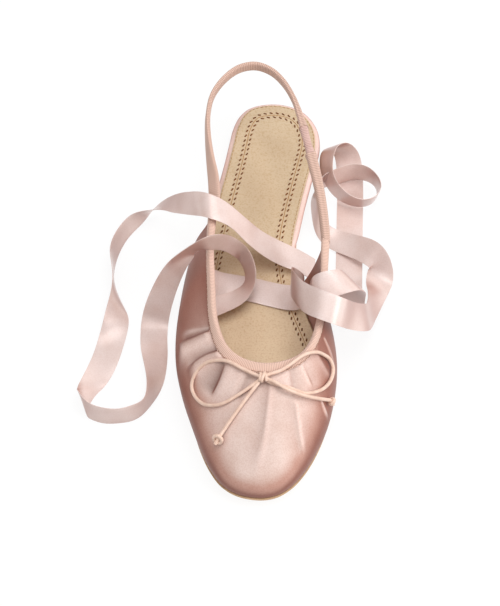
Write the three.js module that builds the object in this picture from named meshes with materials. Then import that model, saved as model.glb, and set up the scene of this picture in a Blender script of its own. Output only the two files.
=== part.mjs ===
// Satin slingback ballet flat, right shoe, standing empty on its sole.
// Millimetres: +X is the medial (arch) side, -Y is the toe, +Y is the heel, +Z is up.
// "along" is the distance from the back of the heel towards the toe.
import * as THREE from "three";

// Driving sizes
const SHOE_LENGTH = 240.6;
const SOLE_LENGTH = 240.5;
const HEEL_BACK_Y = SHOE_LENGTH / 2;
const LAYER_GAP = 0.3;
const LIFT_HEIGHT = 7.2;
const OUTSOLE_THICKNESS = 3;
const BOARD_THICKNESS = 3.4;
const INSOLE_THICKNESS = 1.3;
const UPPER_WALL = 1.3;
const TOE_SPRING = 4.8;
const ARCH_START = 46;
const ARCH_END = 150;
const SPRING_START = 196;
const LIFT_LENGTH = 52;
const LIFT_INSET = 1.6;
const FOOT_INSET = 0.7;
const BINDING_DEPTH = 4.6;
const BINDING_TAPE = 0.6;
const SLEEVE_FROM = 0.697;
const SLEEVE_TO = 0.772;
const SLEEVE_WIDE = 4.6;
const SLEEVE_THICK = 4.8;
const STRAP_GAP = 0.0015;
const RIBBON_WIDTH = 14;
const RIBBON_THICKNESS = 0.6;
const CORD_RADIUS = 0.9;

// Numbers of steps in the faceted surfaces
const OUTLINE_STEPS = 40;
const LIFT_STEPS = 14;
const UPPER_COLUMNS = 64;
const UPPER_ROWS = 12;
const STRAP_STEPS = 64;
const RIBBON_STEPS = 112;
const CORD_STEP_LENGTH = 2.6;
const CORD_SIDES = 8;

// Rows of a table with a name for each column
function table(columns, rows) {
  return rows.map((row) => Object.fromEntries(columns.map((name, i) => [name, row[i]])));
}

// Sole outline seen from above, one row per section: distance along, lateral edge, medial edge
const SOLE_PLAN = table(
  ["along", "lateral", "medial"],
  [
    [3, -8.6, 16.8],
    [9, -14.4, 23.6],
    [18, -17.8, 28.2],
    [29, -19.6, 29.5],
    [42, -21.6, 27.6],
    [57, -24.3, 24.6],
    [74, -27.4, 21.4],
    [92, -30.2, 19.0],
    [112, -33.2, 20.4],
    [132, -35.8, 27.4],
    [150, -37.2, 34.4],
    [168, -36.8, 38.3],
    [184, -34.2, 38.2],
    [199, -30.4, 36.0],
    [213, -26.0, 31.4],
    [225, -20.6, 25.6],
    [233.5, -14.6, 19.4],
    [238.6, -6.8, 12.6],
  ],
);
const HEEL_TIP = { along: 0, x: 4.6 };
const TOE_TIP = { along: SOLE_LENGTH, x: 4.4 };

// Upper, one row per section from the lateral wing round the toe to the medial wing.
// foot is where the section stands on the sole edge, top is a point of the topline.
// The wall leaves the sole by flare and rise, and comes to the topline from reach and drop.
const UPPER_SECTIONS = table(
  ["side", "foot", "topX", "topAlong", "topZ", "flare", "rise", "reach", "drop"],
  [
    ["lateral", 101, -25.2, 98, 45.5, 11.5, 11, 2, 12],
    ["lateral", 119, -25.4, 116, 44, 14, 12, 3, 12],
    ["lateral", 142, -23.6, 138, 42, 15, 12, 5, 12],
    ["lateral", 165, -21.4, 157, 41, 14, 13, 8, 11],
    ["lateral", 190, -15.6, 172.5, 40.5, 10.5, 14, 15, 8],
    ["lateral", 216, -7, 180.5, 40.5, 6, 14.5, 22, 7.5],
    ["toe", SOLE_LENGTH, 4, 183.6, 41, 4.5, 14.5, 28, 8],
    ["medial", 219, 15.5, 181.4, 41, 5.5, 14.5, 23, 7.5],
    ["medial", 197, 24.8, 174.5, 41, 7, 14, 13, 9],
    ["medial", 173, 30.6, 161, 41.5, 8.5, 13, 7, 11],
    ["medial", 145, 33.2, 139, 43, 10, 12, 4, 13],
    ["medial", 115, 33.8, 111, 45.5, 8, 11, 2, 14],
  ],
);

const shoe = new THREE.Group();
shoe.name = "ballet_flat";

function addPart(name, geometry, colour, roughness) {
  const material = new THREE.MeshStandardMaterial({ color: colour, roughness, metalness: 0 });
  const mesh = new THREE.Mesh(geometry, material);
  mesh.name = name;
  shoe.add(mesh);
}

// Height of the outsole's underside: raised on the lift, down to the floor at the ball, up at the toe
function undersideHeight(along) {
  const onLift = 1 - THREE.MathUtils.smoothstep(along, ARCH_START, ARCH_END);
  const pastBall = Math.max(0, (along - SPRING_START) / (SOLE_LENGTH - SPRING_START));
  return (LIFT_HEIGHT + LAYER_GAP) * onLift + TOE_SPRING * pastBall * pastBall;
}

function outsoleTop(along) {
  return undersideHeight(along) + OUTSOLE_THICKNESS;
}

function boardBottom(along) {
  return outsoleTop(along) + LAYER_GAP;
}

function boardTop(along) {
  return boardBottom(along) + BOARD_THICKNESS;
}

function insoleBottom(along) {
  return boardTop(along) + LAYER_GAP;
}

function insoleTop(along) {
  return insoleBottom(along) + INSOLE_THICKNESS;
}

function alongOf(y) {
  return HEEL_BACK_Y - y;
}

function planPoint(x, along) {
  return new THREE.Vector3(x, HEEL_BACK_Y - along, 0);
}

// Closed sole outline: turn 0 is the heel, 0.5 the toe, the lateral side comes first
const outline = new THREE.CatmullRomCurve3(
  [
    planPoint(HEEL_TIP.x, HEEL_TIP.along),
    ...SOLE_PLAN.map((row) => planPoint(row.lateral, row.along)),
    planPoint(TOE_TIP.x, TOE_TIP.along),
    ...SOLE_PLAN.map((row) => planPoint(row.medial, row.along)).reverse(),
  ],
  true,
  "centripetal",
);

function outwardAt(turn) {
  const tangent = outline.getTangent(turn);
  return new THREE.Vector3(tangent.y, -tangent.x, 0).normalize();
}

function edgePoint(turn, inset) {
  return outline.getPoint(turn).addScaledVector(outwardAt(turn), -inset);
}

// The turn at which one side of the outline passes a distance along
function turnAt(side, along) {
  if (side === "toe") {
    return 0.5;
  }
  let low = 0;
  let high = 0.5;
  for (let i = 0; i < 40; i++) {
    const middle = (low + high) / 2;
    const point = outline.getPoint(side === "lateral" ? middle : 1 - middle);
    if (alongOf(point.y) < along) {
      low = middle;
    } else {
      high = middle;
    }
  }
  return side === "lateral" ? low : 1 - low;
}

// An inset that has one value round the open heel and another under the upper
function insetBetween(atHeel, atToe) {
  return (along) => THREE.MathUtils.lerp(atHeel, atToe, THREE.MathUtils.smoothstep(along, 82, 104));
}

// A closed solid from triangles of a vertex list, turned so that its faces point out
function solidFrom(vertices, triangles) {
  const volume = triangles.reduce((sum, [a, b, c]) => {
    const normal = vertices[b].clone().cross(vertices[c]);
    return sum + vertices[a].dot(normal);
  }, 0);
  const faces = volume > 0 ? triangles : triangles.map(([a, b, c]) => [a, c, b]);
  const geometry = new THREE.BufferGeometry();
  const numbers = vertices.flatMap((v) => [v.x, v.y, v.z]);
  geometry.setAttribute("position", new THREE.Float32BufferAttribute(numbers, 3));
  geometry.setIndex(faces.flat());
  geometry.computeVertexNormals();
  return geometry;
}

// A solid through rings of points, closed at both ends by the flat section that made the rings
function sweptSolid(rings, section) {
  const count = section.length;
  const vertices = rings.flat();
  const triangles = [];
  for (let ring = 0; ring < rings.length - 1; ring++) {
    for (let i = 0; i < count; i++) {
      const a = ring * count + i;
      const b = ring * count + ((i + 1) % count);
      triangles.push([a, b, b + count], [a, b + count, a + count]);
    }
  }
  const last = (rings.length - 1) * count;
  const cap = THREE.ShapeUtils.triangulateShape(section, []);
  const turned = THREE.ShapeUtils.area(section) > 0;
  cap.forEach(([a, b, c]) => {
    const [p, q] = turned ? [c, b] : [b, c];
    triangles.push([a, p, q], [last + a, last + q, last + p]);
  });
  return solidFrom(vertices, triangles);
}

// A layer of the sole between two heights, with its own inset at the top and the bottom edge
function soleLayer(topHeight, bottomHeight, topInset, bottomInset) {
  const count = 2 * OUTLINE_STEPS;
  const ring = (height, inset) =>
    Array.from({ length: count }, (_, i) => {
      const turn = i / count;
      const along = alongOf(outline.getPoint(turn).y);
      const point = edgePoint(turn, inset(along));
      point.z = height(alongOf(point.y));
      return point;
    });
  const vertices = [...ring(topHeight, topInset), ...ring(bottomHeight, bottomInset)];
  const triangles = [];
  for (let i = 0; i < count; i++) {
    const next = (i + 1) % count;
    triangles.push([i, count + i, next], [next, count + i, count + next]);
  }
  const opposite = (i) => (count - i) % count;
  for (let i = 0; i < OUTLINE_STEPS; i++) {
    const cap = [];
    if (i > 0) {
      cap.push([i, i + 1, opposite(i)]);
    }
    if (i < OUTLINE_STEPS - 1) {
      cap.push([i + 1, opposite(i + 1), opposite(i)]);
    }
    cap.forEach(([a, b, c]) => triangles.push([a, b, c], [count + a, count + c, count + b]));
  }
  return solidFrom(vertices, triangles);
}

// Heel lift: the back of the sole outline, set in a little, with a straight breast
function heelLift() {
  const breast = turnAt("lateral", LIFT_LENGTH);
  const steps = LIFT_STEPS;
  const back = [];
  for (let i = -steps; i <= steps; i++) {
    const turn = (((i / steps) * breast) % 1 + 1) % 1;
    back.push(edgePoint(turn, LIFT_INSET));
  }
  const count = back.length;
  const vertices = [
    ...back.map((p) => new THREE.Vector3(p.x, p.y, LIFT_HEIGHT)),
    ...back.map((p) => new THREE.Vector3(p.x, p.y, 0)),
  ];
  const triangles = [];
  for (let i = 0; i < count; i++) {
    const next = (i + 1) % count;
    triangles.push([i, count + i, next], [next, count + i, count + next]);
  }
  for (let i = 0; i < steps; i++) {
    const a = i;
    const b = i + 1;
    const c = count - 2 - i;
    const d = count - 1 - i;
    const cap = b === c ? [[a, b, d]] : [[a, b, d], [b, c, d]];
    cap.forEach(([p, q, r]) => triangles.push([p, q, r], [count + p, count + r, count + q]));
  }
  return solidFrom(vertices, triangles);
}

// Places of a route's rows, from 0 to 1, in step with the distance travelled
function routePlaces(rows) {
  const travelled = [0];
  for (let i = 1; i < rows.length; i++) {
    const step = Math.hypot(
      rows[i].x - rows[i - 1].x,
      rows[i].along - rows[i - 1].along,
      rows[i].z - rows[i - 1].z,
    );
    travelled.push(travelled[i - 1] + step);
  }
  return travelled.map((distance) => distance / travelled[rows.length - 1]);
}

function evenPlaces(rows) {
  return rows.map((_, i) => i / (rows.length - 1));
}

// Reads a table of rows smoothly at any place from 0 (first row) to 1 (last row)
function smoothTable(rows, names, places) {
  const values = rows.flatMap((row) => names.map((name) => row[name]));
  const reader = new THREE.CubicInterpolant(places, values, names.length, new Float64Array(names.length));
  return (place) => {
    const found = Array.from(reader.evaluate(THREE.MathUtils.clamp(place, 0, 1)));
    return Object.fromEntries(names.map((name, i) => [name, found[i]]));
  };
}

const upperSection = smoothTable(
  UPPER_SECTIONS.map((row) => ({ ...row, turn: turnAt(row.side, row.foot) })),
  ["turn", "topX", "topAlong", "topZ", "flare", "rise", "reach", "drop"],
  evenPlaces(UPPER_SECTIONS),
);

// The curve of the upper's outer face from the sole edge up to the topline
function upperProfile(place) {
  const row = upperSection(place);
  const foot = edgePoint(row.turn, FOOT_INSET);
  foot.z = outsoleTop(alongOf(foot.y)) + LAYER_GAP;
  const top = planPoint(row.topX, row.topAlong).setZ(row.topZ);
  const wall = foot.clone().addScaledVector(outwardAt(row.turn), row.flare);
  wall.z += row.rise;
  const away = foot.clone().sub(top).setZ(0).normalize();
  const roof = top.clone().addScaledVector(away, row.reach);
  roof.z -= row.drop;
  return new THREE.CubicBezierCurve3(foot, wall, roof, top);
}

// A point of the upper: place runs round the foot, level runs from the sole (0) to the topline (1),
// out is the distance outside the outer face
function upperPoint(place, level, out) {
  const step = 0.002;
  const at = (p, l) => upperProfile(p).getPoint(l);
  const before = Math.max(0, place - step);
  const after = Math.min(1, place + step);
  const low = Math.max(0, level - step);
  const high = Math.min(1, level + step);
  const round = at(after, level).sub(at(before, level));
  const up = at(place, high).sub(at(place, low));
  const normal = round.cross(up).normalize();
  return at(place, level).addScaledVector(normal, out);
}

// A hollow wall: outer and inner grids joined along their four edges
function upperShell() {
  const wide = UPPER_COLUMNS + 1;
  const tall = UPPER_ROWS + 1;
  const grid = (out) => {
    const points = [];
    for (let row = 0; row < tall; row++) {
      for (let col = 0; col < wide; col++) {
        points.push(upperPoint(col / UPPER_COLUMNS, row / UPPER_ROWS, out));
      }
    }
    return points;
  };
  const outer = grid(0);
  const inner = grid(-UPPER_WALL);
  const vertices = [...outer, ...inner];
  const half = outer.length;
  const triangles = [];
  const index = (row, col) => row * wide + col;
  for (let row = 0; row < UPPER_ROWS; row++) {
    for (let col = 0; col < UPPER_COLUMNS; col++) {
      const a = index(row, col);
      const b = index(row, col + 1);
      const c = index(row + 1, col + 1);
      const d = index(row + 1, col);
      triangles.push([a, b, c], [a, c, d]);
      triangles.push([half + a, half + c, half + b], [half + a, half + d, half + c]);
    }
  }
  const border = [];
  for (let col = 0; col < UPPER_COLUMNS; col++) {
    border.push([index(0, col), index(0, col + 1)]);
  }
  for (let row = 0; row < UPPER_ROWS; row++) {
    border.push([index(row, UPPER_COLUMNS), index(row + 1, UPPER_COLUMNS)]);
  }
  for (let col = UPPER_COLUMNS; col > 0; col--) {
    border.push([index(UPPER_ROWS, col), index(UPPER_ROWS, col - 1)]);
  }
  for (let row = UPPER_ROWS; row > 0; row--) {
    border.push([index(row, 0), index(row - 1, 0)]);
  }
  border.forEach(([a, b]) => triangles.push([b, a, half + a], [b, half + a, half + b]));
  return solidFrom(vertices, triangles);
}

// Binding: elastic tape folded over the topline, with depth below the edge and distance outside the face
const BINDING_OUT = LAYER_GAP + BINDING_TAPE;
const BINDING_IN = -UPPER_WALL - LAYER_GAP;
const BINDING_SECTION = table(
  ["depth", "out"],
  [
    [BINDING_DEPTH, BINDING_OUT],
    [BINDING_DEPTH / 2, BINDING_OUT],
    [-0.5, BINDING_OUT],
    [-0.9, 0.4],
    [-0.9, BINDING_IN + 0.2],
    [-0.5, BINDING_IN - BINDING_TAPE],
    [BINDING_DEPTH / 2, BINDING_IN - BINDING_TAPE],
    [BINDING_DEPTH, BINDING_IN - BINDING_TAPE],
    [BINDING_DEPTH, BINDING_IN],
    [BINDING_DEPTH / 2, BINDING_IN],
    [-LAYER_GAP, BINDING_IN],
    [-LAYER_GAP, LAYER_GAP],
    [BINDING_DEPTH / 2, LAYER_GAP],
    [BINDING_DEPTH, LAYER_GAP],
  ],
);

function bindingPoint(place, depth, out) {
  const profile = upperProfile(place);
  const rise = profile.v3.clone().sub(profile.v2);
  const level = 1 - Math.max(0, depth) / (3 * rise.length());
  const point = upperPoint(place, level, out);
  return point.addScaledVector(rise.normalize(), Math.max(0, -depth));
}

function topBinding() {
  const rings = [];
  for (let col = 0; col <= UPPER_COLUMNS; col++) {
    const place = col / UPPER_COLUMNS;
    rings.push(BINDING_SECTION.map((corner) => bindingPoint(place, corner.depth, corner.out)));
  }
  const section = BINDING_SECTION.map((corner) => new THREE.Vector2(corner.out, corner.depth));
  return sweptSolid(rings, section);
}

// Slingback strap from the lateral wing round the heel to the medial wing, middle of the band.
// lean tips the band's upper edge inwards, in degrees from upright.
const STRAP_ROUTE = table(
  ["x", "along", "z", "lean", "wide", "thick"],
  [
    [-24.6, 97.2, 43.6, 14, 6.4, 3.2],
    [-24.2, 88, 45.4, 52, 6.8, 2.8],
    [-25.2, 77, 47.2, 50, 6.8, 2.6],
    [-27.4, 65, 49, 28, 6.6, 2.6],
    [-29.2, 52, 50.4, 12, 6.6, 2.6],
    [-29.8, 39, 51.4, 6, 6.6, 2.6],
    [-28, 26.5, 52.4, 5, 6.6, 2.6],
    [-22, 15.4, 53, 5, 6.6, 2.6],
    [-14.4, 8.4, 53.3, 5, 6.6, 2.6],
    [-6, 6.4, 53.4, 5, 6.6, 2.6],
    [2, 9.4, 53.2, 5, 6.6, 2.6],
    [9, 16.6, 52.8, 5, 6.6, 2.6],
    [14.4, 26.4, 52.2, 6, 6.6, 2.6],
    [18.4, 38, 51.6, 8, 5.8, 3.2],
    [22, 52, 50.6, 8, 5, 4.2],
    [26, 67, 49, 4, 6, 4.8],
    [29.4, 82, 47.2, 0, 6.4, 4.8],
    [31.8, 97, 45.2, -4, 6.4, 4.6],
    [33.2, 110.2, 43.7, -8, 6.4, 4.2],
  ],
);

const strapAt = smoothTable(
  STRAP_ROUTE,
  ["x", "along", "z", "lean", "wide", "thick"],
  routePlaces(STRAP_ROUTE),
);

// Corners of a flat band with eased edges, as fractions of its half width and half thickness
const BAND_CORNERS = [
  [1, -0.4], [1, 0.4], [0.8, 1], [-0.8, 1], [-1, 0.4], [-1, -0.4], [-0.8, -1], [0.8, -1],
].map(([across, through]) => new THREE.Vector2(across, through));

function strapMiddle(place) {
  const row = strapAt(place);
  return planPoint(row.x, row.along).setZ(row.z);
}

function strapRing(place, wide, thick) {
  const row = strapAt(place);
  const ahead = strapMiddle(Math.min(1, place + 0.004));
  const tangent = ahead.sub(strapMiddle(Math.max(0, place - 0.004))).normalize();
  const inwards = tangent.clone().cross(new THREE.Vector3(0, 0, 1)).normalize();
  const upright = inwards.clone().cross(tangent).normalize();
  const lean = THREE.MathUtils.degToRad(row.lean);
  const across = upright.clone().multiplyScalar(Math.cos(lean)).addScaledVector(inwards, Math.sin(lean));
  const through = tangent.clone().cross(across);
  return BAND_CORNERS.map((corner) =>
    strapMiddle(place)
      .addScaledVector(across, (corner.x * (wide ?? row.wide)) / 2)
      .addScaledVector(through, (corner.y * (thick ?? row.thick)) / 2),
  );
}

function strapPiece(from, to, wide, thick) {
  const steps = Math.max(4, Math.round((to - from) * STRAP_STEPS));
  const rings = Array.from({ length: steps + 1 }, (_, i) =>
    strapRing(THREE.MathUtils.lerp(from, to, i / steps), wide, thick),
  );
  return sweptSolid(rings, BAND_CORNERS);
}

// Satin ribbons. Each row is the middle of the ribbon and the direction from one edge to the other.

// From the inside of the lateral wall: a curl on the insole, over the wall, a loop on the floor,
// back over the strap, across the insole and out under the strap on the medial side
const RIBBON_LATERAL = table(
  ["x", "along", "z", "sideX", "sideAlong", "sideZ"],
  [
    [-26, 141, 33, 0, -1, 0],
    [-30, 140, 25, 0, -1, 0],
    [-27, 137, 17.5, 0, -1, -0.1],
    [-20.5, 133, 15, -0.1, -1, -0.2],
    [-14, 130, 15, -0.1, -0.9, -0.3],
    [-8.5, 126.5, 15.5, -0.3, -0.8, -0.4],
    [-5, 121, 16.5, -0.4, -0.6, -0.7],
    [-4.5, 115, 18.5, -0.4, -0.4, -0.8],
    [-7.5, 110.5, 26, -0.4, -0.2, -0.9],
    [-12.5, 112.5, 37.5, -0.1, 0.1, -1],
    [-19.5, 117.5, 49.5, 0, 0, -1],
    [-26, 121, 53.5, 0, -0.1, -1],
    [-34, 121, 47.5, 0.2, -0.4, -0.9],
    [-41.5, 123.5, 37.5, 0.9, -0.3, 0],
    [-46, 125.5, 27, 1, -0.1, 0.2],
    [-51.5, 130.5, 10, 1, 0.1, 0.1],
    [-53.5, 135.5, 1.6, 1, 0.1, 0],
    [-53.5, 146, 0.7, 1, -0.2, 0],
    [-51.5, 162, 4, 0.8, -0.3, -0.5],
    [-51, 176.5, 6.4, 0.5, -0.3, -0.8],
    [-54, 187.5, 7.2, 0.2, -0.3, -0.9],
    [-61, 194, 7.4, 0.2, 0, -1],
    [-69.4, 196.1, 7.4, 0, 0, -1],
    [-76.4, 195.8, 7.4, 0.1, 0.1, -1],
    [-83.5, 193, 7.4, 0.2, 0.2, -1],
    [-87.2, 188.5, 7.2, 0.2, 0.5, -0.8],
    [-86.3, 184.5, 6.8, 0.4, -0.1, -0.9],
    [-82.4, 174.8, 3.4, 0.9, -0.1, -0.4],
    [-77.8, 160, 1, 1, 0.1, 0],
    [-75.3, 148.5, 1.3, 1, 0, 0],
    [-73.3, 137.5, 4, 0.9, -0.2, -0.4],
    [-73.5, 126, 7, 0.4, 0, -0.9],
    [-76.5, 112.5, 7.4, 0, 0, -1],
    [-77.5, 98, 7.4, 0.2, -0.1, -1],
    [-73.5, 85, 7.2, 0.3, -0.2, -0.9],
    [-66, 74.5, 7.2, 0.3, -0.2, -0.9],
    [-57.5, 71.5, 11.5, -0.1, -0.6, -0.8],
    [-47.5, 79, 26.5, -0.2, -0.9, -0.3],
    [-37, 88.5, 41.5, -0.2, -1, 0.1],
    [-27.5, 96, 51, -0.1, -1, 0.2],
    [-18, 98.5, 48.5, -0.2, -1, 0.2],
    [-8, 101, 37.5, -0.1, -1, 0.2],
    [1.5, 101.5, 25.5, -0.1, -1, 0.2],
    [11.5, 102, 17.5, 0, -1, 0.1],
    [20, 104, 14.8, 0, -1, 0],
    [28.5, 108, 12.4, 0, -1, 0],
  ],
);

// From its free end inside the lateral wall: flat across the insole, folded up and over the medial
// topline, down to the floor, back under the strap, a standing curl, a flat run on the floor, and up
// over the topline again to where it is sewn inside the medial wall
const RIBBON_MEDIAL = table(
  ["x", "along", "z", "sideX", "sideAlong", "sideZ"],
  [
    [-27.5, 121, 24, 0, 0.9, -0.3],
    [-25, 120, 17, 0, 0.9, -0.3],
    [-19, 119, 12.2, 0, 1, -0.2],
    [-10, 119, 10.8, 0, 1, -0.1],
    [0, 121, 10.6, -0.1, 1, -0.1],
    [10, 123.5, 10.6, -0.1, 1, -0.1],
    [17, 125.5, 12.2, -0.1, 1, -0.2],
    [22.5, 127.5, 18.5, 0, 0.9, -0.4],
    [23, 128, 26, 0, 0.8, -0.6],
    [18, 127.5, 31, 0, 0.7, -0.7],
    [16, 131, 37, 0, 0.7, -0.7],
    [18, 139, 43, 0, 0.7, -0.7],
    [23.5, 148.5, 48, -0.1, 0.8, -0.6],
    [32, 155, 52, -0.3, 0.8, -0.5],
    [39.5, 157, 50.5, -0.3, 0.9, -0.4],
    [47.8, 150.6, 36, -0.1, 0.9, -0.4],
    [54.3, 144.8, 26, 0.2, 0.8, -0.5],
    [57.2, 136.4, 17, 0.3, 0.2, -0.9],
    [60.6, 120.5, 9.2, 0.65, -0.1, -0.75],
    [61.8, 111.7, 4.2, 0.9, -0.1, -0.4],
    [62.6, 105, 2.4, 1, 0.1, 0],
    [63, 99.5, 5, 0.8, 0.2, 0.5],
    [60, 96, 10, 0.3, -0.6, 0.7],
    [55, 92, 8.5, 0.1, -0.9, 0.4],
    [47, 86.5, 5, -0.1, -1, 0.2],
    [36.5, 81, 3.4, -0.2, -0.9, 0.3],
    [30.5, 76, 6.6, 0.1, -0.5, 0.8],
    [27.5, 65, 7.5, 0.2, 0.1, 1],
    [28, 51, 7.3, 0.2, 0.2, 1],
    [32.5, 46, 7.3, 0, 0.1, 1],
    [38, 44.5, 7.6, -0.1, 0, 1],
    [43, 42, 8.6, -0.1, 0, 1],
    [49.5, 40.5, 8.8, -0.1, 0, 1],
    [56, 42, 8.8, -0.1, 0, 1],
    [61, 47.5, 8.8, 0, 0.1, 1],
    [62, 54, 8.6, 0.2, 0.2, 1],
    [58.5, 60, 8.6, 0.1, 0.3, 0.9],
    [52.5, 62, 8.8, 0.1, 0.3, 0.9],
    [46, 60.5, 9.4, 0.2, 0.3, 0.9],
    [39.5, 56, 10.4, 0.3, 0.3, 0.9],
    [34.5, 48, 12, 0.4, 0.4, 0.9],
    [33, 39, 13, 0.5, 0.4, 0.8],
    [34.5, 29.5, 14, 0.6, 0.3, 0.8],
    [39, 25.5, 12.5, 0.7, 0.2, 0.7],
    [44, 27, 7, 0.9, 0.1, 0.5],
    [46, 34.5, 2, 1, 0, 0.1],
    [46.5, 46, 0.7, 1, 0, 0],
    [46.5, 70, 0.6, 1, 0, 0],
    [46.5, 94, 0.6, 1, 0, 0],
    [46.5, 112, 0.8, 1, 0, 0],
    [46.7, 122.5, 2, 1, 0, 0],
    [47, 127.5, 7.5, 1, 0.2, -0.1],
    [47.7, 129, 18, 0.9, 0.4, -0.2],
    [48.5, 130.5, 30.5, 0.8, 0.5, -0.3],
    [48.5, 134, 41.5, 0.7, 0.5, -0.4],
    [44.7, 137.8, 49.6, 0.7, 0.6, -0.4],
    [38.8, 140.6, 51.2, 0.6, 0.7, -0.4],
    [32.5, 142.2, 49.8, 0.4, 0.8, -0.4],
    [27.2, 143.2, 46.2, 0.1, 0.9, -0.3],
    [25.2, 144, 41.5, 0, 1, -0.2],
    [27.2, 144.2, 36.2, 0, 1, -0.1],
    [31.4, 144, 32, 0.12, 1, 0],
  ],
);
const RIBBON_COLUMNS = ["x", "along", "z", "sideX", "sideAlong", "sideZ"];
const RIBBON_CORNERS = [
  new THREE.Vector2(1, 1),
  new THREE.Vector2(-1, 1),
  new THREE.Vector2(-1, -1),
  new THREE.Vector2(1, -1),
];

function ribbonSolid(route) {
  const rowAt = smoothTable(route, RIBBON_COLUMNS, routePlaces(route));
  const middle = (place) => {
    const row = rowAt(place);
    return planPoint(row.x, row.along).setZ(row.z);
  };
  const rings = [];
  for (let i = 0; i <= RIBBON_STEPS; i++) {
    const place = i / RIBBON_STEPS;
    const row = rowAt(place);
    const tangent = middle(Math.min(1, place + 0.005)).sub(middle(Math.max(0, place - 0.005)));
    const side = new THREE.Vector3(row.sideX, -row.sideAlong, row.sideZ);
    const face = tangent.cross(side).normalize();
    side.normalize();
    rings.push(
      RIBBON_CORNERS.map((corner) =>
        middle(place)
          .addScaledVector(side, (corner.x * RIBBON_WIDTH) / 2)
          .addScaledVector(face, (corner.y * RIBBON_THICKNESS) / 2),
      ),
    );
  }
  return sweptSolid(rings, RIBBON_CORNERS);
}

// The bow of round cord on the vamp. Rows are points of the cord's middle, and its end knots are swellings.
const BOW_KNOT = { x: 4, along: 191, z: 41.8, halfX: 2.3, halfAlong: 3.2, halfZ: 2 };
const BOW_COLUMNS = ["x", "along", "z", "radius"];
const BOW_LOOP_LATERAL = table(BOW_COLUMNS, [
  [1.2, 190, 41.4, CORD_RADIUS],
  [-6, 186.5, 41.3, CORD_RADIUS],
  [-13.4, 182.3, 40.9, CORD_RADIUS],
  [-19.4, 180.2, 37.9, CORD_RADIUS],
  [-24.9, 180, 34.4, CORD_RADIUS],
  [-29.5, 182.9, 29.5, CORD_RADIUS],
  [-31.2, 187.8, 26, CORD_RADIUS],
  [-29.7, 192.9, 25.4, CORD_RADIUS],
  [-25.2, 198.6, 27, CORD_RADIUS],
  [-20.3, 201, 29.7, CORD_RADIUS],
  [-15.6, 201.4, 32.3, CORD_RADIUS],
  [-7.9, 198.4, 36.1, CORD_RADIUS],
  [1, 193.2, 40, CORD_RADIUS],
]);
const BOW_LOOP_MEDIAL = table(BOW_COLUMNS, [
  [6.9, 189.5, 41.7, CORD_RADIUS],
  [12.3, 187.4, 42, CORD_RADIUS],
  [17, 184, 42.4, CORD_RADIUS],
  [21.8, 179.8, 42.7, CORD_RADIUS],
  [25.4, 177.4, 42.7, CORD_RADIUS],
  [29.9, 174.8, 39.9, CORD_RADIUS],
  [33.5, 172.9, 34.7, CORD_RADIUS],
  [36.7, 172.6, 30, CORD_RADIUS],
  [38.4, 174.7, 26.5, CORD_RADIUS],
  [38.5, 177.9, 25.5, CORD_RADIUS],
  [37, 183.4, 26.2, CORD_RADIUS],
  [33.6, 189.1, 28.9, CORD_RADIUS],
  [29.7, 192.8, 31.8, CORD_RADIUS],
  [25.1, 195.1, 34.4, CORD_RADIUS],
  [21.3, 195.1, 36.2, CORD_RADIUS],
  [17.4, 194.5, 37.7, CORD_RADIUS],
  [12, 193.6, 38.9, CORD_RADIUS],
  [7.6, 192.8, 39.9, CORD_RADIUS],
]);
const BOW_END_LATERAL = table(BOW_COLUMNS, [
  [3.2, 195, 39.4, CORD_RADIUS],
  [-2.5, 198.9, 37.4, CORD_RADIUS],
  [-7.1, 204.9, 34.3, CORD_RADIUS],
  [-11, 210, 31.4, CORD_RADIUS],
  [-14.2, 214.4, 29, CORD_RADIUS],
  [-15.4, 216.2, 28.2, 1.3],
  [-16.9, 218.3, 26.9, 2.7],
  [-18.2, 220.2, 25.2, 1.2],
]);
const BOW_END_MEDIAL = table(BOW_COLUMNS, [
  [7, 191.6, 42.4, CORD_RADIUS],
  [10.9, 194.2, 41.5, CORD_RADIUS],
  [15.9, 196.6, 40.1, CORD_RADIUS],
  [20.9, 197.6, 38.3, CORD_RADIUS],
  [25.8, 197.5, 35.6, CORD_RADIUS],
  [30.8, 195.9, 31.1, CORD_RADIUS],
  [35.6, 193.2, 25.4, CORD_RADIUS],
  [37, 192.5, 23.9, 1.1],
  [38.3, 192.4, 22.6, 2],
  [38.9, 194, 21.2, 0.9],
]);

function bowKnot() {
  const knot = new THREE.SphereGeometry(1, 12, 8);
  knot.scale(BOW_KNOT.halfX, BOW_KNOT.halfAlong, BOW_KNOT.halfZ);
  const centre = planPoint(BOW_KNOT.x, BOW_KNOT.along).setZ(BOW_KNOT.z);
  return knot.translate(centre.x, centre.y, centre.z);
}

function cordSolid(route) {
  const rowAt = smoothTable(route, BOW_COLUMNS, routePlaces(route));
  const middle = (place) => {
    const row = rowAt(place);
    return planPoint(row.x, row.along).setZ(row.z);
  };
  const length = route.slice(1).reduce((sum, row, i) => {
    const from = planPoint(route[i].x, route[i].along).setZ(route[i].z);
    return sum + from.distanceTo(planPoint(row.x, row.along).setZ(row.z));
  }, 0);
  const steps = Math.round(length / CORD_STEP_LENGTH);
  const section = Array.from({ length: CORD_SIDES }, (_, i) => {
    const angle = (2 * Math.PI * i) / CORD_SIDES;
    return new THREE.Vector2(Math.cos(angle), Math.sin(angle));
  });
  const rings = [];
  for (let i = 0; i <= steps; i++) {
    const place = i / steps;
    const tangent = middle(Math.min(1, place + 0.005)).sub(middle(Math.max(0, place - 0.005)));
    const side = tangent.clone().cross(new THREE.Vector3(0, 0, 1)).normalize();
    const face = side.clone().cross(tangent).normalize();
    const radius = rowAt(place).radius;
    rings.push(
      section.map((corner) =>
        middle(place).addScaledVector(side, corner.x * radius).addScaledVector(face, corner.y * radius),
      ),
    );
  }
  return sweptSolid(rings, section);
}

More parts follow.
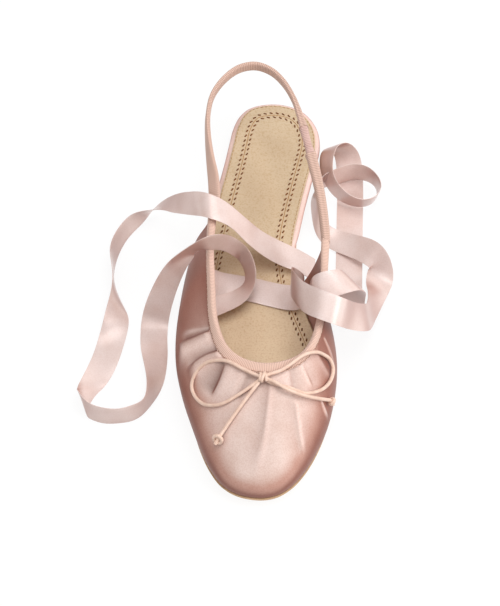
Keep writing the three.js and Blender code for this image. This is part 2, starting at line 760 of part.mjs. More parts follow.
addPart("heel_lift", heelLift(), 0xb48c6a, 0.6);
addPart(
  "outsole",
  soleLayer(outsoleTop, undersideHeight, insetBetween(1, 0), insetBetween(1.8, 0.9)),
  0xc9a27e,
  0.6,
);
addPart(
  "footbed",
  soleLayer(boardTop, boardBottom, insetBetween(0.4, 2.9), insetBetween(0, 2.7)),
  0xe9ccc4,
  0.45,
);
addPart(
  "insole",
  soleLayer(insoleTop, insoleBottom, insetBetween(2.8, 3.4), insetBetween(2.6, 3.3)),
  0xdcc19a,
  0.9,
);
addPart("upper", upperShell(), 0xd2ada5, 0.4);
addPart("binding", topBinding(), 0xe0bba9, 0.8);
addPart("strap_long", strapPiece(0, SLEEVE_FROM), 0xe0bba9, 0.8);
addPart(
  "strap_sleeve",
  strapPiece(SLEEVE_FROM + STRAP_GAP, SLEEVE_TO - STRAP_GAP, SLEEVE_WIDE, SLEEVE_THICK),
  0xd2ada5,
  0.45,
);
addPart("strap_short", strapPiece(SLEEVE_TO, 1), 0xe0bba9, 0.8);
addPart("ribbon_lateral", ribbonSolid(RIBBON_LATERAL), 0xddc2bb, 0.35);
addPart("ribbon_medial", ribbonSolid(RIBBON_MEDIAL), 0xddc2bb, 0.35);

addPart("bow_knot", bowKnot(), 0xf0d4bc, 0.6);
addPart("bow_loop_lateral", cordSolid(BOW_LOOP_LATERAL), 0xf0d4bc, 0.6);
addPart("bow_loop_medial", cordSolid(BOW_LOOP_MEDIAL), 0xf0d4bc, 0.6);
addPart("bow_end_lateral", cordSolid(BOW_END_LATERAL), 0xf0d4bc, 0.6);
addPart("bow_end_medial", cordSolid(BOW_END_MEDIAL), 0xf0d4bc, 0.6);

export default shoe;
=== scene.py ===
# Looks of a satin slingback ballet flat, right shoe, with a cord bow and two long tie ribbons.
# Metres: +X is the medial side, -Y is the toe, +Z is up. "along" runs from the back of the heel to the toe.
import math

import bpy
import numpy as np
from mathutils import Matrix


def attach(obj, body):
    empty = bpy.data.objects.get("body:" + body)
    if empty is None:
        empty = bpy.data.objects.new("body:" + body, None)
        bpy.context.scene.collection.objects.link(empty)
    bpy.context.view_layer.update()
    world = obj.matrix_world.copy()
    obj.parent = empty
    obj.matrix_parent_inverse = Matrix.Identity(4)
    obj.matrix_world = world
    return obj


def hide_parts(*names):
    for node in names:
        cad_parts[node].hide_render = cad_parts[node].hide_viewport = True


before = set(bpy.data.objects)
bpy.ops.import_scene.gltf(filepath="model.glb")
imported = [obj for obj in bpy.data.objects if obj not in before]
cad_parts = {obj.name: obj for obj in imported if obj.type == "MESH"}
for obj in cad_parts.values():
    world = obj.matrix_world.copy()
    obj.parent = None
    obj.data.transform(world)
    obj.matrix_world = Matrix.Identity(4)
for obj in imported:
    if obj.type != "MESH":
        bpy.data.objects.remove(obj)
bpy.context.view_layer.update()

# Driving sizes, as in the solids
SHOE_LENGTH = 0.2406
SOLE_LENGTH = 0.2405
HEEL_BACK_Y = SHOE_LENGTH / 2
LAYER_GAP = 0.0003
LIFT_HEIGHT = 0.0072
LIFT_LENGTH = 0.052
LIFT_INSET = 0.0016
OUTSOLE_THICKNESS = 0.003
BOARD_THICKNESS = 0.0034
INSOLE_THICKNESS = 0.0013
UPPER_WALL = 0.0013
FOOT_INSET = 0.0007
TOE_SPRING = 0.0048
ARCH_START = 0.046
ARCH_END = 0.150
SPRING_START = 0.196
BINDING_DEPTH = 0.0046
BINDING_TAPE = 0.0006
SLEEVE_FROM = 0.697
SLEEVE_TO = 0.772
SLEEVE_WIDE = 0.0046
SLEEVE_THICK = 0.0048
STRAP_GAP = 0.0015
RIBBON_WIDTH = 0.014
RIBBON_THICKNESS = 0.0005
CORD_RADIUS = 0.0009
HEEL_TIP = (0.0046, 0.0)
TOE_TIP = (0.0044, SOLE_LENGTH)

# Sole outline from above: along, lateral edge, medial edge
SOLE_PLAN = (
    (0.003, -0.0086, 0.0168),
    (0.009, -0.0144, 0.0236),
    (0.018, -0.0178, 0.0282),
    (0.029, -0.0196, 0.0295),
    (0.042, -0.0216, 0.0276),
    (0.057, -0.0243, 0.0246),
    (0.074, -0.0274, 0.0214),
    (0.092, -0.0302, 0.019),
    (0.112, -0.0332, 0.0204),
    (0.132, -0.0358, 0.0274),
    (0.15, -0.0372, 0.0344),
    (0.168, -0.0368, 0.0383),
    (0.184, -0.0342, 0.0382),
    (0.199, -0.0304, 0.036),
    (0.213, -0.026, 0.0314),
    (0.225, -0.0206, 0.0256),
    (0.2335, -0.0146, 0.0194),
    (0.2386, -0.0068, 0.0126),
)

# Upper: side and along of the foot point, topline x, along and z, then the curve between: its flare and
# rise at the foot, its reach and drop at the topline
UPPER_SECTIONS = (
    ("lateral", 0.101, -0.0252, 0.098, 0.0455, 0.0115, 0.011, 0.002, 0.012),
    ("lateral", 0.119, -0.0254, 0.116, 0.044, 0.014, 0.012, 0.003, 0.012),
    ("lateral", 0.142, -0.0236, 0.138, 0.042, 0.015, 0.012, 0.005, 0.012),
    ("lateral", 0.165, -0.0214, 0.157, 0.041, 0.014, 0.013, 0.008, 0.011),
    ("lateral", 0.19, -0.0156, 0.1725, 0.0405, 0.0105, 0.014, 0.015, 0.008),
    ("lateral", 0.216, -0.007, 0.1805, 0.0405, 0.006, 0.0145, 0.022, 0.0075),
    ("toe", SOLE_LENGTH, 0.004, 0.1836, 0.041, 0.0045, 0.0145, 0.028, 0.008),
    ("medial", 0.219, 0.0155, 0.1814, 0.041, 0.0055, 0.0145, 0.023, 0.0075),
    ("medial", 0.197, 0.0248, 0.1745, 0.041, 0.007, 0.014, 0.013, 0.009),
    ("medial", 0.173, 0.0306, 0.161, 0.0415, 0.0085, 0.013, 0.007, 0.011),
    ("medial", 0.145, 0.0332, 0.139, 0.043, 0.01, 0.012, 0.004, 0.013),
    ("medial", 0.115, 0.0338, 0.111, 0.0455, 0.008, 0.011, 0.002, 0.014),
)

# Strap: middle x, along, z, lean in degrees, width, thickness
STRAP_ROUTE = (
    (-0.0246, 0.0972, 0.0436, 14, 0.0064, 0.0032),
    (-0.0242, 0.088, 0.0454, 52, 0.0068, 0.0028),
    (-0.0252, 0.077, 0.0472, 50, 0.0068, 0.0026),
    (-0.0274, 0.065, 0.049, 28, 0.0066, 0.0026),
    (-0.0292, 0.052, 0.0504, 12, 0.0066, 0.0026),
    (-0.0298, 0.039, 0.0514, 6, 0.0066, 0.0026),
    (-0.028, 0.0265, 0.0524, 5, 0.0066, 0.0026),
    (-0.022, 0.0154, 0.053, 5, 0.0066, 0.0026),
    (-0.0144, 0.0084, 0.0533, 5, 0.0066, 0.0026),
    (-0.006, 0.0064, 0.0534, 5, 0.0066, 0.0026),
    (0.002, 0.0094, 0.0532, 5, 0.0066, 0.0026),
    (0.009, 0.0166, 0.0528, 5, 0.0066, 0.0026),
    (0.0144, 0.0264, 0.0522, 6, 0.0066, 0.0026),
    (0.0184, 0.038, 0.0516, 8, 0.0058, 0.0032),
    (0.022, 0.052, 0.0506, 8, 0.005, 0.0042),
    (0.026, 0.067, 0.049, 4, 0.006, 0.0048),
    (0.0294, 0.082, 0.0472, 0, 0.0064, 0.0048),
    (0.0318, 0.097, 0.0452, -4, 0.0064, 0.0046),
    (0.0332, 0.1102, 0.0437, -8, 0.0064, 0.0042),
)

# Ribbons: middle x, along, z and the direction across
RIBBON_LATERAL = (
    (-0.026, 0.141, 0.033, 0, -1, 0),
    (-0.03, 0.14, 0.025, 0, -1, 0),
    (-0.027, 0.137, 0.0175, 0, -1, -0.1),
    (-0.0205, 0.133, 0.015, -0.1, -1, -0.2),
    (-0.014, 0.13, 0.015, -0.1, -0.9, -0.3),
    (-0.0085, 0.1265, 0.0155, -0.3, -0.8, -0.4),
    (-0.005, 0.121, 0.0165, -0.4, -0.6, -0.7),
    (-0.0045, 0.115, 0.0185, -0.4, -0.4, -0.8),
    (-0.0075, 0.1105, 0.026, -0.4, -0.2, -0.9),
    (-0.0125, 0.1125, 0.0375, -0.1, 0.1, -1),
    (-0.0195, 0.1175, 0.0495, 0, 0, -1),
    (-0.026, 0.121, 0.0535, 0, -0.1, -1),
    (-0.034, 0.121, 0.0475, 0.2, -0.4, -0.9),
    (-0.0415, 0.1235, 0.0375, 0.9, -0.3, 0),
    (-0.046, 0.1255, 0.027, 1, -0.1, 0.2),
    (-0.0515, 0.1305, 0.01, 1, 0.1, 0.1),
    (-0.0535, 0.1355, 0.0016, 1, 0.1, 0),
    (-0.0535, 0.146, 0.0007, 1, -0.2, 0),
    (-0.0515, 0.162, 0.004, 0.8, -0.3, -0.5),
    (-0.051, 0.1765, 0.0064, 0.5, -0.3, -0.8),
    (-0.054, 0.1875, 0.0072, 0.2, -0.3, -0.9),
    (-0.061, 0.194, 0.0074, 0.2, 0, -1),
    (-0.0694, 0.1961, 0.0074, 0, 0, -1),
    (-0.0764, 0.1958, 0.0074, 0.1, 0.1, -1),
    (-0.0835, 0.193, 0.0074, 0.2, 0.2, -1),
    (-0.0872, 0.1885, 0.0072, 0.2, 0.5, -0.8),
    (-0.0863, 0.1845, 0.0068, 0.4, -0.1, -0.9),
    (-0.0824, 0.1748, 0.0034, 0.9, -0.1, -0.4),
    (-0.0778, 0.16, 0.001, 1, 0.1, 0),
    (-0.0753, 0.1485, 0.0013, 1, 0, 0),
    (-0.0733, 0.1375, 0.004, 0.9, -0.2, -0.4),
    (-0.0735, 0.126, 0.007, 0.4, 0, -0.9),
    (-0.0765, 0.1125, 0.0074, 0, 0, -1),
    (-0.0775, 0.098, 0.0074, 0.2, -0.1, -1),
    (-0.0735, 0.085, 0.0072, 0.3, -0.2, -0.9),
    (-0.066, 0.0745, 0.0072, 0.3, -0.2, -0.9),
    (-0.0575, 0.0715, 0.0115, -0.1, -0.6, -0.8),
    (-0.0475, 0.079, 0.0265, -0.2, -0.9, -0.3),
    (-0.037, 0.0885, 0.0415, -0.2, -1, 0.1),
    (-0.0275, 0.096, 0.051, -0.1, -1, 0.2),
    (-0.018, 0.0985, 0.0485, -0.2, -1, 0.2),
    (-0.008, 0.101, 0.0375, -0.1, -1, 0.2),
    (0.0015, 0.1015, 0.0255, -0.1, -1, 0.2),
    (0.0115, 0.102, 0.0175, 0, -1, 0.1),
    (0.02, 0.104, 0.0148, 0, -1, 0),
    (0.0285, 0.108, 0.0124, 0, -1, 0),
)
RIBBON_MEDIAL = (
    (-0.0275, 0.121, 0.024, 0, 0.9, -0.3),
    (-0.025, 0.12, 0.017, 0, 0.9, -0.3),
    (-0.019, 0.119, 0.0122, 0, 1, -0.2),
    (-0.01, 0.119, 0.0108, 0, 1, -0.1),
    (0, 0.121, 0.0106, -0.1, 1, -0.1),
    (0.01, 0.1235, 0.0106, -0.1, 1, -0.1),
    (0.017, 0.1255, 0.0122, -0.1, 1, -0.2),
    (0.0225, 0.1275, 0.0185, 0, 0.9, -0.4),
    (0.023, 0.128, 0.026, 0, 0.8, -0.6),
    (0.018, 0.1275, 0.031, 0, 0.7, -0.7),
    (0.016, 0.131, 0.037, 0, 0.7, -0.7),
    (0.018, 0.139, 0.043, 0, 0.7, -0.7),
    (0.0235, 0.1485, 0.048, -0.1, 0.8, -0.6),
    (0.032, 0.155, 0.052, -0.3, 0.8, -0.5),
    (0.0395, 0.157, 0.0505, -0.3, 0.9, -0.4),
    (0.0478, 0.1506, 0.036, -0.1, 0.9, -0.4),
    (0.0543, 0.1448, 0.026, 0.2, 0.8, -0.5),
    (0.0572, 0.1364, 0.017, 0.3, 0.2, -0.9),
    (0.0606, 0.1205, 0.0092, 0.65, -0.1, -0.75),
    (0.0618, 0.1117, 0.0042, 0.9, -0.1, -0.4),
    (0.0626, 0.105, 0.0024, 1, 0.1, 0),
    (0.063, 0.0995, 0.005, 0.8, 0.2, 0.5),
    (0.06, 0.096, 0.01, 0.3, -0.6, 0.7),
    (0.055, 0.092, 0.0085, 0.1, -0.9, 0.4),
    (0.047, 0.0865, 0.005, -0.1, -1, 0.2),
    (0.0365, 0.081, 0.0034, -0.2, -0.9, 0.3),
    (0.0305, 0.076, 0.0066, 0.1, -0.5, 0.8),
    (0.0275, 0.065, 0.0075, 0.2, 0.1, 1),
    (0.028, 0.051, 0.0073, 0.2, 0.2, 1),
    (0.0325, 0.046, 0.0073, 0, 0.1, 1),
    (0.038, 0.0445, 0.0076, -0.1, 0, 1),
    (0.043, 0.042, 0.0086, -0.1, 0, 1),
    (0.0495, 0.0405, 0.0088, -0.1, 0, 1),
    (0.056, 0.042, 0.0088, -0.1, 0, 1),
    (0.061, 0.0475, 0.0088, 0, 0.1, 1),
    (0.062, 0.054, 0.0086, 0.2, 0.2, 1),
    (0.0585, 0.06, 0.0086, 0.1, 0.3, 0.9),
    (0.0525, 0.062, 0.0088, 0.1, 0.3, 0.9),
    (0.046, 0.0605, 0.0094, 0.2, 0.3, 0.9),
    (0.0395, 0.056, 0.0104, 0.3, 0.3, 0.9),
    (0.0345, 0.048, 0.012, 0.4, 0.4, 0.9),
    (0.033, 0.039, 0.013, 0.5, 0.4, 0.8),
    (0.0345, 0.0295, 0.014, 0.6, 0.3, 0.8),
    (0.039, 0.0255, 0.0125, 0.7, 0.2, 0.7),
    (0.044, 0.027, 0.007, 0.9, 0.1, 0.5),
    (0.046, 0.0345, 0.002, 1, 0, 0.1),
    (0.0465, 0.046, 0.0007, 1, 0, 0),
    (0.0465, 0.07, 0.0006, 1, 0, 0),
    (0.0465, 0.094, 0.0006, 1, 0, 0),
    (0.0465, 0.112, 0.0008, 1, 0, 0),
    (0.0467, 0.1225, 0.002, 1, 0, 0),
    (0.047, 0.1275, 0.0075, 1, 0.2, -0.1),
    (0.0477, 0.129, 0.018, 0.9, 0.4, -0.2),
    (0.0485, 0.1305, 0.0305, 0.8, 0.5, -0.3),
    (0.0485, 0.134, 0.0415, 0.7, 0.5, -0.4),
    (0.0447, 0.1378, 0.0496, 0.7, 0.6, -0.4),
    (0.0388, 0.1406, 0.0512, 0.6, 0.7, -0.4),
    (0.0325, 0.1422, 0.0498, 0.4, 0.8, -0.4),
    (0.0272, 0.1432, 0.0462, 0.1, 0.9, -0.3),
    (0.0252, 0.144, 0.0415, 0, 1, -0.2),
    (0.0272, 0.1442, 0.0362, 0, 1, -0.1),
    (0.0314, 0.144, 0.032, 0.12, 1, 0),
)

# Bow cords: middle x, along, z; an end has its knot at the last row but one
BOW_LOOP_LATERAL = (
    (0.0012, 0.19, 0.0414),
    (-0.006, 0.1865, 0.0413),
    (-0.0134, 0.1823, 0.0409),
    (-0.0194, 0.1802, 0.0379),
    (-0.0249, 0.18, 0.0344),
    (-0.0295, 0.1829, 0.0295),
    (-0.0312, 0.1878, 0.026),
    (-0.0297, 0.1929, 0.0254),
    (-0.0252, 0.1986, 0.027),
    (-0.0203, 0.201, 0.0297),
    (-0.0156, 0.2014, 0.0323),
    (-0.0079, 0.1984, 0.0361),
    (0.001, 0.1932, 0.04),
)
BOW_LOOP_MEDIAL = (
    (0.0069, 0.1895, 0.0417),
    (0.0123, 0.1874, 0.042),
    (0.017, 0.184, 0.0424),
    (0.0218, 0.1798, 0.0427),
    (0.0254, 0.1774, 0.0427),
    (0.0299, 0.1748, 0.0399),
    (0.0335, 0.1729, 0.0347),
    (0.0367, 0.1726, 0.03),
    (0.0384, 0.1747, 0.0265),
    (0.0385, 0.1779, 0.0255),
    (0.037, 0.1834, 0.0262),
    (0.0336, 0.1891, 0.0289),
    (0.0297, 0.1928, 0.0318),
    (0.0251, 0.1951, 0.0344),
    (0.0213, 0.1951, 0.0362),
    (0.0174, 0.1945, 0.0377),
    (0.012, 0.1936, 0.0389),
    (0.0076, 0.1928, 0.0399),
)
BOW_END_LATERAL = (
    (0.0032, 0.195, 0.0394),
    (-0.0025, 0.1989, 0.0374),
    (-0.0071, 0.2049, 0.0343),
    (-0.011, 0.21, 0.0314),
    (-0.0142, 0.2144, 0.029),
    (-0.0154, 0.2162, 0.0282),
    (-0.0169, 0.2183, 0.0269),
    (-0.0182, 0.2202, 0.0252),
)
BOW_END_MEDIAL = (
    (0.007, 0.1916, 0.0424),
    (0.0109, 0.1942, 0.0415),
    (0.0159, 0.1966, 0.0401),
    (0.0209, 0.1976, 0.0383),
    (0.0258, 0.1975, 0.0356),
    (0.0308, 0.1959, 0.0311),
    (0.0356, 0.1932, 0.0254),
    (0.037, 0.1925, 0.0239),
    (0.0383, 0.1924, 0.0226),
    (0.0389, 0.194, 0.0212),
)

# Pleats, three rows each: points of the fold line (x, along, z); depth and width of the low panel, height
# and width of the rolled edge on top, its side (1 medial or toe, -1 lateral), width of the step; painted
# shade and its width on the low panel, painted light on the roll and its distance from the line
PLEATS = (
    (
        ((-0.0248, 0.1628, 0.0358), (-0.0323, 0.1621, 0.0283), (-0.0392, 0.1600, 0.0194)),
        (0.0010, 0.0030, 0.0028, 0.0058, 1, 0.0010),
        (0.85, 0.0026, 0.90, 0.0052),
    ),
    (
        ((-0.0194, 0.1750, 0.0377), (-0.0258, 0.1754, 0.0332), (-0.0340, 0.1775, 0.0228)),
        (0.0010, 0.0030, 0.0026, 0.0060, 1, 0.0010),
        (0.85, 0.0026, 0.75, 0.0050),
    ),
    (
        ((-0.0150, 0.1830, 0.0375), (-0.0179, 0.1899, 0.0338), (-0.0217, 0.1965, 0.0290)),
        (0.0009, 0.0060, 0.0006, 0.0050, 1, 0.0009),
        (0.85, 0.0060, 0.60, 0.0040),
    ),
    (
        ((-0.0038, 0.1891, 0.0386), (-0.0065, 0.1955, 0.0361), (-0.0092, 0.2016, 0.0335)),
        (0.0006, 0.0045, 0.0005, 0.0050, -1, 0.0009),
        (0.45, 0.0030, 0.40, 0.0030),
    ),
    (
        ((0.0069, 0.1930, 0.0383), (0.0050, 0.2140, 0.0310), (0.0014, 0.2368, 0.0178)),
        (0.0005, 0.0080, 0.0002, 0.0040, 1, 0.0012),
        (0.42, 0.0055, 0.60, 0.0016),
    ),
    (
        ((0.0172, 0.1859, 0.0393), (0.0184, 0.1926, 0.0367), (0.0194, 0.1992, 0.0340)),
        (0.0005, 0.0040, 0.0004, 0.0050, -1, 0.0010),
        (0.35, 0.0030, 0.40, 0.0020),
    ),
    (
        ((0.0196, 0.2010, 0.0332), (0.0221, 0.2133, 0.0267), (0.0246, 0.2225, 0.0190)),
        (0.0004, 0.0070, 0.0005, 0.0040, 1, 0.0012),
        (0.22, 0.0040, 0.75, 0.0012),
    ),
    (
        ((0.0240, 0.1821, 0.0383), (0.0265, 0.1863, 0.0351), (0.0291, 0.1903, 0.0314)),
        (0.0003, 0.0040, 0.0003, 0.0045, -1, 0.0012),
        (0.12, 0.0035, 0.60, 0.0012),
    ),
    (
        ((0.0318, 0.1735, 0.0345), (0.0349, 0.1761, 0.0292), (0.0378, 0.1786, 0.0230)),
        (0.0005, 0.0040, 0.0004, 0.0040, -1, 0.0012),
        (0.30, 0.0030, 0.35, 0.0020),
    ),
)

# Soft ridges: three points, height, half width, painted light on the ridge
RIDGES = (
    ((-0.0250, 0.1608, 0.0360), (-0.0325, 0.1580, 0.0285), (-0.0392, 0.1555, 0.0196), 0.0005, 0.0011, 0.7),
    ((0.0339, 0.1634, 0.0343), (0.0371, 0.1675, 0.0271), (0.0403, 0.1764, 0.0166), 0.0004, 0.0007, 0.4),
    ((0.0333, 0.1943, 0.0249), (0.0350, 0.1970, 0.0207), (0.0367, 0.1990, 0.0145), 0.0004, 0.0006, 0.6),
)

# Steps of the shown surfaces
OUTLINE_STEPS = 240
OUTLINE_HALVINGS = 40
LIFT_STEPS = 120
UPPER_COLUMNS = 700
UPPER_ROWS = 60
FOLD_LINE_STEPS = 40
STRAP_STEPS = 320
STRAP_AROUND = 40
SLEEVE_STEPS = 160
RIBBON_STEPS = 520
RIBBON_HALF_RING = 13
CORD_STEPS = 160
CORD_AROUND = 16
KNOT_STEPS = 40
KNOT_AROUND = 14
STITCH_LINE_POINTS = 900
SEAM_LINE_POINTS = 3000
STITCH_AROUND = 8
INSOLE_LINE_AROUND = 6


# Points and curves
def unit(vectors):
    return vectors / np.linalg.norm(vectors, axis=-1, keepdims=True)


def smoothstep(value, low, high):
    share = np.clip((value - low) / (high - low), 0, 1)
    return share * share * (3 - 2 * share)


def bell(offset, width):
    return np.exp(-((offset / width) ** 2))


def shares(steps):
    return np.linspace(0, 1, steps + 1)


def plan_point(x, along, z=0.0):
    x, along, z = np.broadcast_arrays(x, along, z)
    return np.stack([x, HEEL_BACK_Y - along, z], axis=-1).astype(float)


def along_of(points):
    return HEEL_BACK_Y - points[..., 1]


def arc_lengths(points):
    return np.concatenate([[0], np.cumsum(np.linalg.norm(np.diff(points, axis=0), axis=1))])


# Places of a route's rows, from 0 to 1, in step with the distance travelled
def route_places(rows):
    travelled = arc_lengths(rows[:, :3])
    return travelled / travelled[-1]


# Reads a table of rows smoothly at places from 0 to 1
def read_table(rows, places, wanted):
    rows = np.asarray(rows, float)
    wanted = np.clip(np.asarray(wanted, float), 0, 1)
    last = len(places) - 1
    after = np.clip(np.searchsorted(places, wanted, side="right"), 1, last)
    before = after - 1
    has_previous = before > 0
    has_next = after < last
    previous = np.where(has_previous, before - 1, after)
    following = np.where(has_next, np.minimum(after + 1, last), before)
    start, end = places[before], places[after]
    half = (end - start) / 2
    left = half / (start - np.where(has_previous, places[previous], end))
    right = half / (np.where(has_next, places[following], start) - end)
    t = (wanted - start) / (end - start)
    share_previous = -left * t**3 + 2 * left * t**2 - left * t
    share_before = (1 + left) * t**3 + (-1.5 - 2 * left) * t**2 + (-0.5 + left) * t + 1
    share_after = (-1 - right) * t**3 + (1.5 + right) * t**2 + 0.5 * t
    share_following = right * t**3 - right * t**2
    weights = (share_previous, share_before, share_after, share_following)
    parts = zip(weights, (previous, before, after, following))
    return sum(weight[..., None] * rows[index] for weight, index in parts)


# Points at even distances along a line, and the line's direction there
def spaced(points, pitch):
    travelled = arc_lengths(points)
    wanted = np.arange(pitch / 2, travelled[-1], pitch)

    def sampled(values):
        return np.stack([np.interp(wanted, travelled, values[:, k]) for k in range(3)], axis=1)

    return sampled(points), unit(sampled(np.gradient(points, axis=0)))


# Smooths rows of sampled values and holds both ends
def soften(values, width):
    reach = 3 * width
    weights = np.exp(-0.5 * (np.arange(-reach, reach + 1) / width) ** 2)
    weights /= weights.sum()
    before = 2 * values[:1] - values[reach:0:-1]
    after = 2 * values[-1:] - values[-2 : -reach - 2 : -1]
    padded = np.concatenate([before, values, after])
    columns = [np.convolve(padded[:, k], weights, mode="valid") for k in range(values.shape[1])]
    return np.stack(columns, axis=1)


# Heights of the sole's layers above its underside
OUTSOLE_TOP = OUTSOLE_THICKNESS
BOARD_BOTTOM = OUTSOLE_TOP + LAYER_GAP
BOARD_TOP = BOARD_BOTTOM + BOARD_THICKNESS
INSOLE_BOTTOM = BOARD_TOP + LAYER_GAP
INSOLE_TOP = INSOLE_BOTTOM + INSOLE_THICKNESS


# Points moved to a height above the underside, which curves down from the lift and up at the toe
def at_height(points, height):
    along = along_of(points)
    on_lift = 1 - smoothstep(along, ARCH_START, ARCH_END)
    past_ball = np.maximum(0, (along - SPRING_START) / (SOLE_LENGTH - SPRING_START))
    underside = (LIFT_HEIGHT + LAYER_GAP) * on_lift + TOE_SPRING * past_ball**2
    points[..., 2] = underside + height
    return points


# The closed sole outline: turn 0 is the heel, 0.5 the toe, the lateral side comes first
OUTLINE = np.concatenate(
    [
        [plan_point(*HEEL_TIP)],
        [plan_point(lateral, along) for along, lateral, medial in SOLE_PLAN],
        [plan_point(*TOE_TIP)],
        [plan_point(medial, along) for along, lateral, medial in reversed(SOLE_PLAN)],
    ]
)


def root_distance(start, end):
    return np.sqrt(np.linalg.norm(end - start, axis=-1, keepdims=True))


# A smooth closed curve through the outline's points, knotted by the roots of their distances
def outline_point(turn):
    count = len(OUTLINE)
    place = np.asarray(turn, float) * count
    first = np.floor(place).astype(int)
    share = (place - first)[..., None]
    before, start, end, after = (OUTLINE[(first + k) % count] for k in (-1, 0, 1, 2))
    gap_in = root_distance(before, start)
    gap = root_distance(start, end)
    gap_out = root_distance(end, after)
    slope_start = ((start - before) / gap_in - (end - before) / (gap_in + gap) + (end - start) / gap) * gap
    slope_end = ((end - start) / gap - (after - start) / (gap + gap_out) + (after - end) / gap_out) * gap
    square = -3 * start + 3 * end - 2 * slope_start - slope_end
    cube = 2 * start - 2 * end + slope_start + slope_end
    return start + share * (slope_start + share * (square + share * cube))


def outward_at(turn):
    step = 1e-4
    after = outline_point(np.minimum(1, turn + step))
    tangent = unit(after - outline_point(np.maximum(0, turn - step)))
    return np.stack([tangent[..., 1], -tangent[..., 0], np.zeros(tangent.shape[:-1])], axis=-1)


def edge_point(turn, inset):
    return outline_point(turn) - outward_at(turn) * np.asarray(inset)[..., None]


def turn_at(side, along):
    if side == "toe":
        return 0.5
    low, high = 0.0, 0.5
    for _ in range(OUTLINE_HALVINGS):
        middle = (low + high) / 2
        point = outline_point(middle if side == "lateral" else 1 - middle)
        if along_of(point) < along:
            low = middle
        else:
            high = middle
    return low if side == "lateral" else 1 - low


# The upper's outer face: four control points from the sole to the topline at places round the foot
UPPER_NUMBERS = np.array([(turn_at(row[0], row[1]),) + row[2:] for row in UPPER_SECTIONS])
UPPER_PLACES = shares(len(UPPER_NUMBERS) - 1)


def upper_profile(place):
    numbers = read_table(UPPER_NUMBERS, UPPER_PLACES, place)
    turn, top_x, top_along, top_z, flare, rise, reach, drop = np.moveaxis(numbers, -1, 0)
    foot = at_height(edge_point(turn, np.full(turn.shape, FOOT_INSET)), BOARD_BOTTOM)
    top = plan_point(top_x, top_along, top_z)
    wall = foot + outward_at(turn) * flare[..., None]
    wall[..., 2] += rise
    away = foot - top
    away[..., 2] = 0
    roof = top + unit(away) * reach[..., None]
    roof[..., 2] -= drop
    return foot, wall, roof, top


def bezier(controls, level):
    a, b, c, d = controls
    t = level[..., None]
    return a * (1 - t) ** 3 + 3 * b * t * (1 - t) ** 2 + 3 * c * t**2 * (1 - t) + d * t**3


# Points and outward normals of the upper's outer face, for arrays of the same shape
def upper_face(place, level):
    step = 0.002
    before, after = np.maximum(0, place - step), np.minimum(1, place + step)
    low, high = np.maximum(0, level - step), np.minimum(1, level + step)
    round_foot = bezier(upper_profile(after), level) - bezier(upper_profile(before), level)
    controls = upper_profile(place)
    upwards = bezier(controls, high) - bezier(controls, low)
    return bezier(controls, level), unit(np.cross(round_foot, upwards))


# Nearest point of a three-point fold line: signed offset across it, distance from it and share along it
def across_line(points, normals, line):
    knots = plan_point(*np.array(line).T)
    curve = read_table(knots, shares(len(knots) - 1), shares(FOLD_LINE_STEPS))
    best = np.full(points.shape[:-1], np.inf)
    across = np.zeros_like(best)
    share = np.zeros_like(best)
    for index in range(FOLD_LINE_STEPS):
        start, step = curve[index], curve[index + 1] - curve[index]
        t = np.clip((points - start) @ step / (step @ step), 0, 1)
        offset = points - start - t[..., None] * step
        distance = np.linalg.norm(offset, axis=-1)
        side = unit(np.cross(normals, step))
        nearer = distance < best
        best = np.where(nearer, distance, best)
        across = np.where(nearer, np.sum(offset * side, axis=-1), across)
        share = np.where(nearer, (index + t) / FOLD_LINE_STEPS, share)
    return across, best, share


# Where pleats and ridges start to fade along their lines, how far they reach past the ends, how narrow the
# painted light on a roll is, and how much of the painted shade a roll loses
PLEAT_FADE = 0.7
RIDGE_FADE = 0.5
PLEAT_END_REACH = 0.0015
LIGHT_NARROWING = 2.5
SHADE_LOST = 0.6


# How far pleats and ridges lift the satin from the last's form, and their painted light and painted shade
def satin_folds(points, normals):
    lift, light, shade = np.zeros((3,) + points.shape[:-1])
    for line, form, tone in PLEATS:
        depth, low_width, roll, roll_width, top_side, step_width = form
        shade_share, shade_width, light_share, light_place = tone
        across, distance, share = across_line(points, normals, line)
        beyond = np.maximum(0, distance - np.abs(across))
        fade = (1 - smoothstep(share, PLEAT_FADE, 1.0)) * bell(beyond, PLEAT_END_REACH)
        step = 0.5 * (1 + np.tanh(across * top_side / step_width))
        raised = roll * step * np.exp(-distance / roll_width)
        lowered = depth * (1 - step) * np.exp(-distance / low_width)
        lift += fade * (raised - lowered)
        far = distance / light_place
        glow = step * (far * np.exp(1 - far)) ** LIGHT_NARROWING
        gloom = (1 - SHADE_LOST * step) * np.exp(-distance / shade_width)
        light = np.maximum(light, light_share * fade * glow)
        shade = np.maximum(shade, shade_share * fade * gloom)
    for start, middle, end, height, width, light_share in RIDGES:
        _, distance, share = across_line(points, normals, (start, middle, end))
        crest = (1 - smoothstep(share, RIDGE_FADE, 1.0)) * bell(distance, width * (1 + share))
        lift += height * crest
        light = np.maximum(light, light_share * crest)
    return lift, light, shade


# A mesh object, with texture places in centimetres
def mesh_object(name, vertices, faces, corner_uv=None, sharp_angle=50):
    mesh = bpy.data.meshes.new(name)
    mesh.from_pydata(np.asarray(vertices).tolist(), [], faces)
    if corner_uv is not None:
        layer = mesh.uv_layers.new(name="UVMap")
        padded = np.zeros((len(mesh.loops), 2))
        padded[: len(corner_uv)] = corner_uv
        layer.data.foreach_set("uv", padded.ravel())
    mesh.polygons.foreach_set("use_smooth", np.ones(len(mesh.polygons), bool))
    mesh.set_sharp_from_angle(angle=math.radians(sharp_angle))
    mesh.update()
    made = bpy.data.objects.new(name, mesh)
    bpy.context.scene.collection.objects.link(made)
    return made


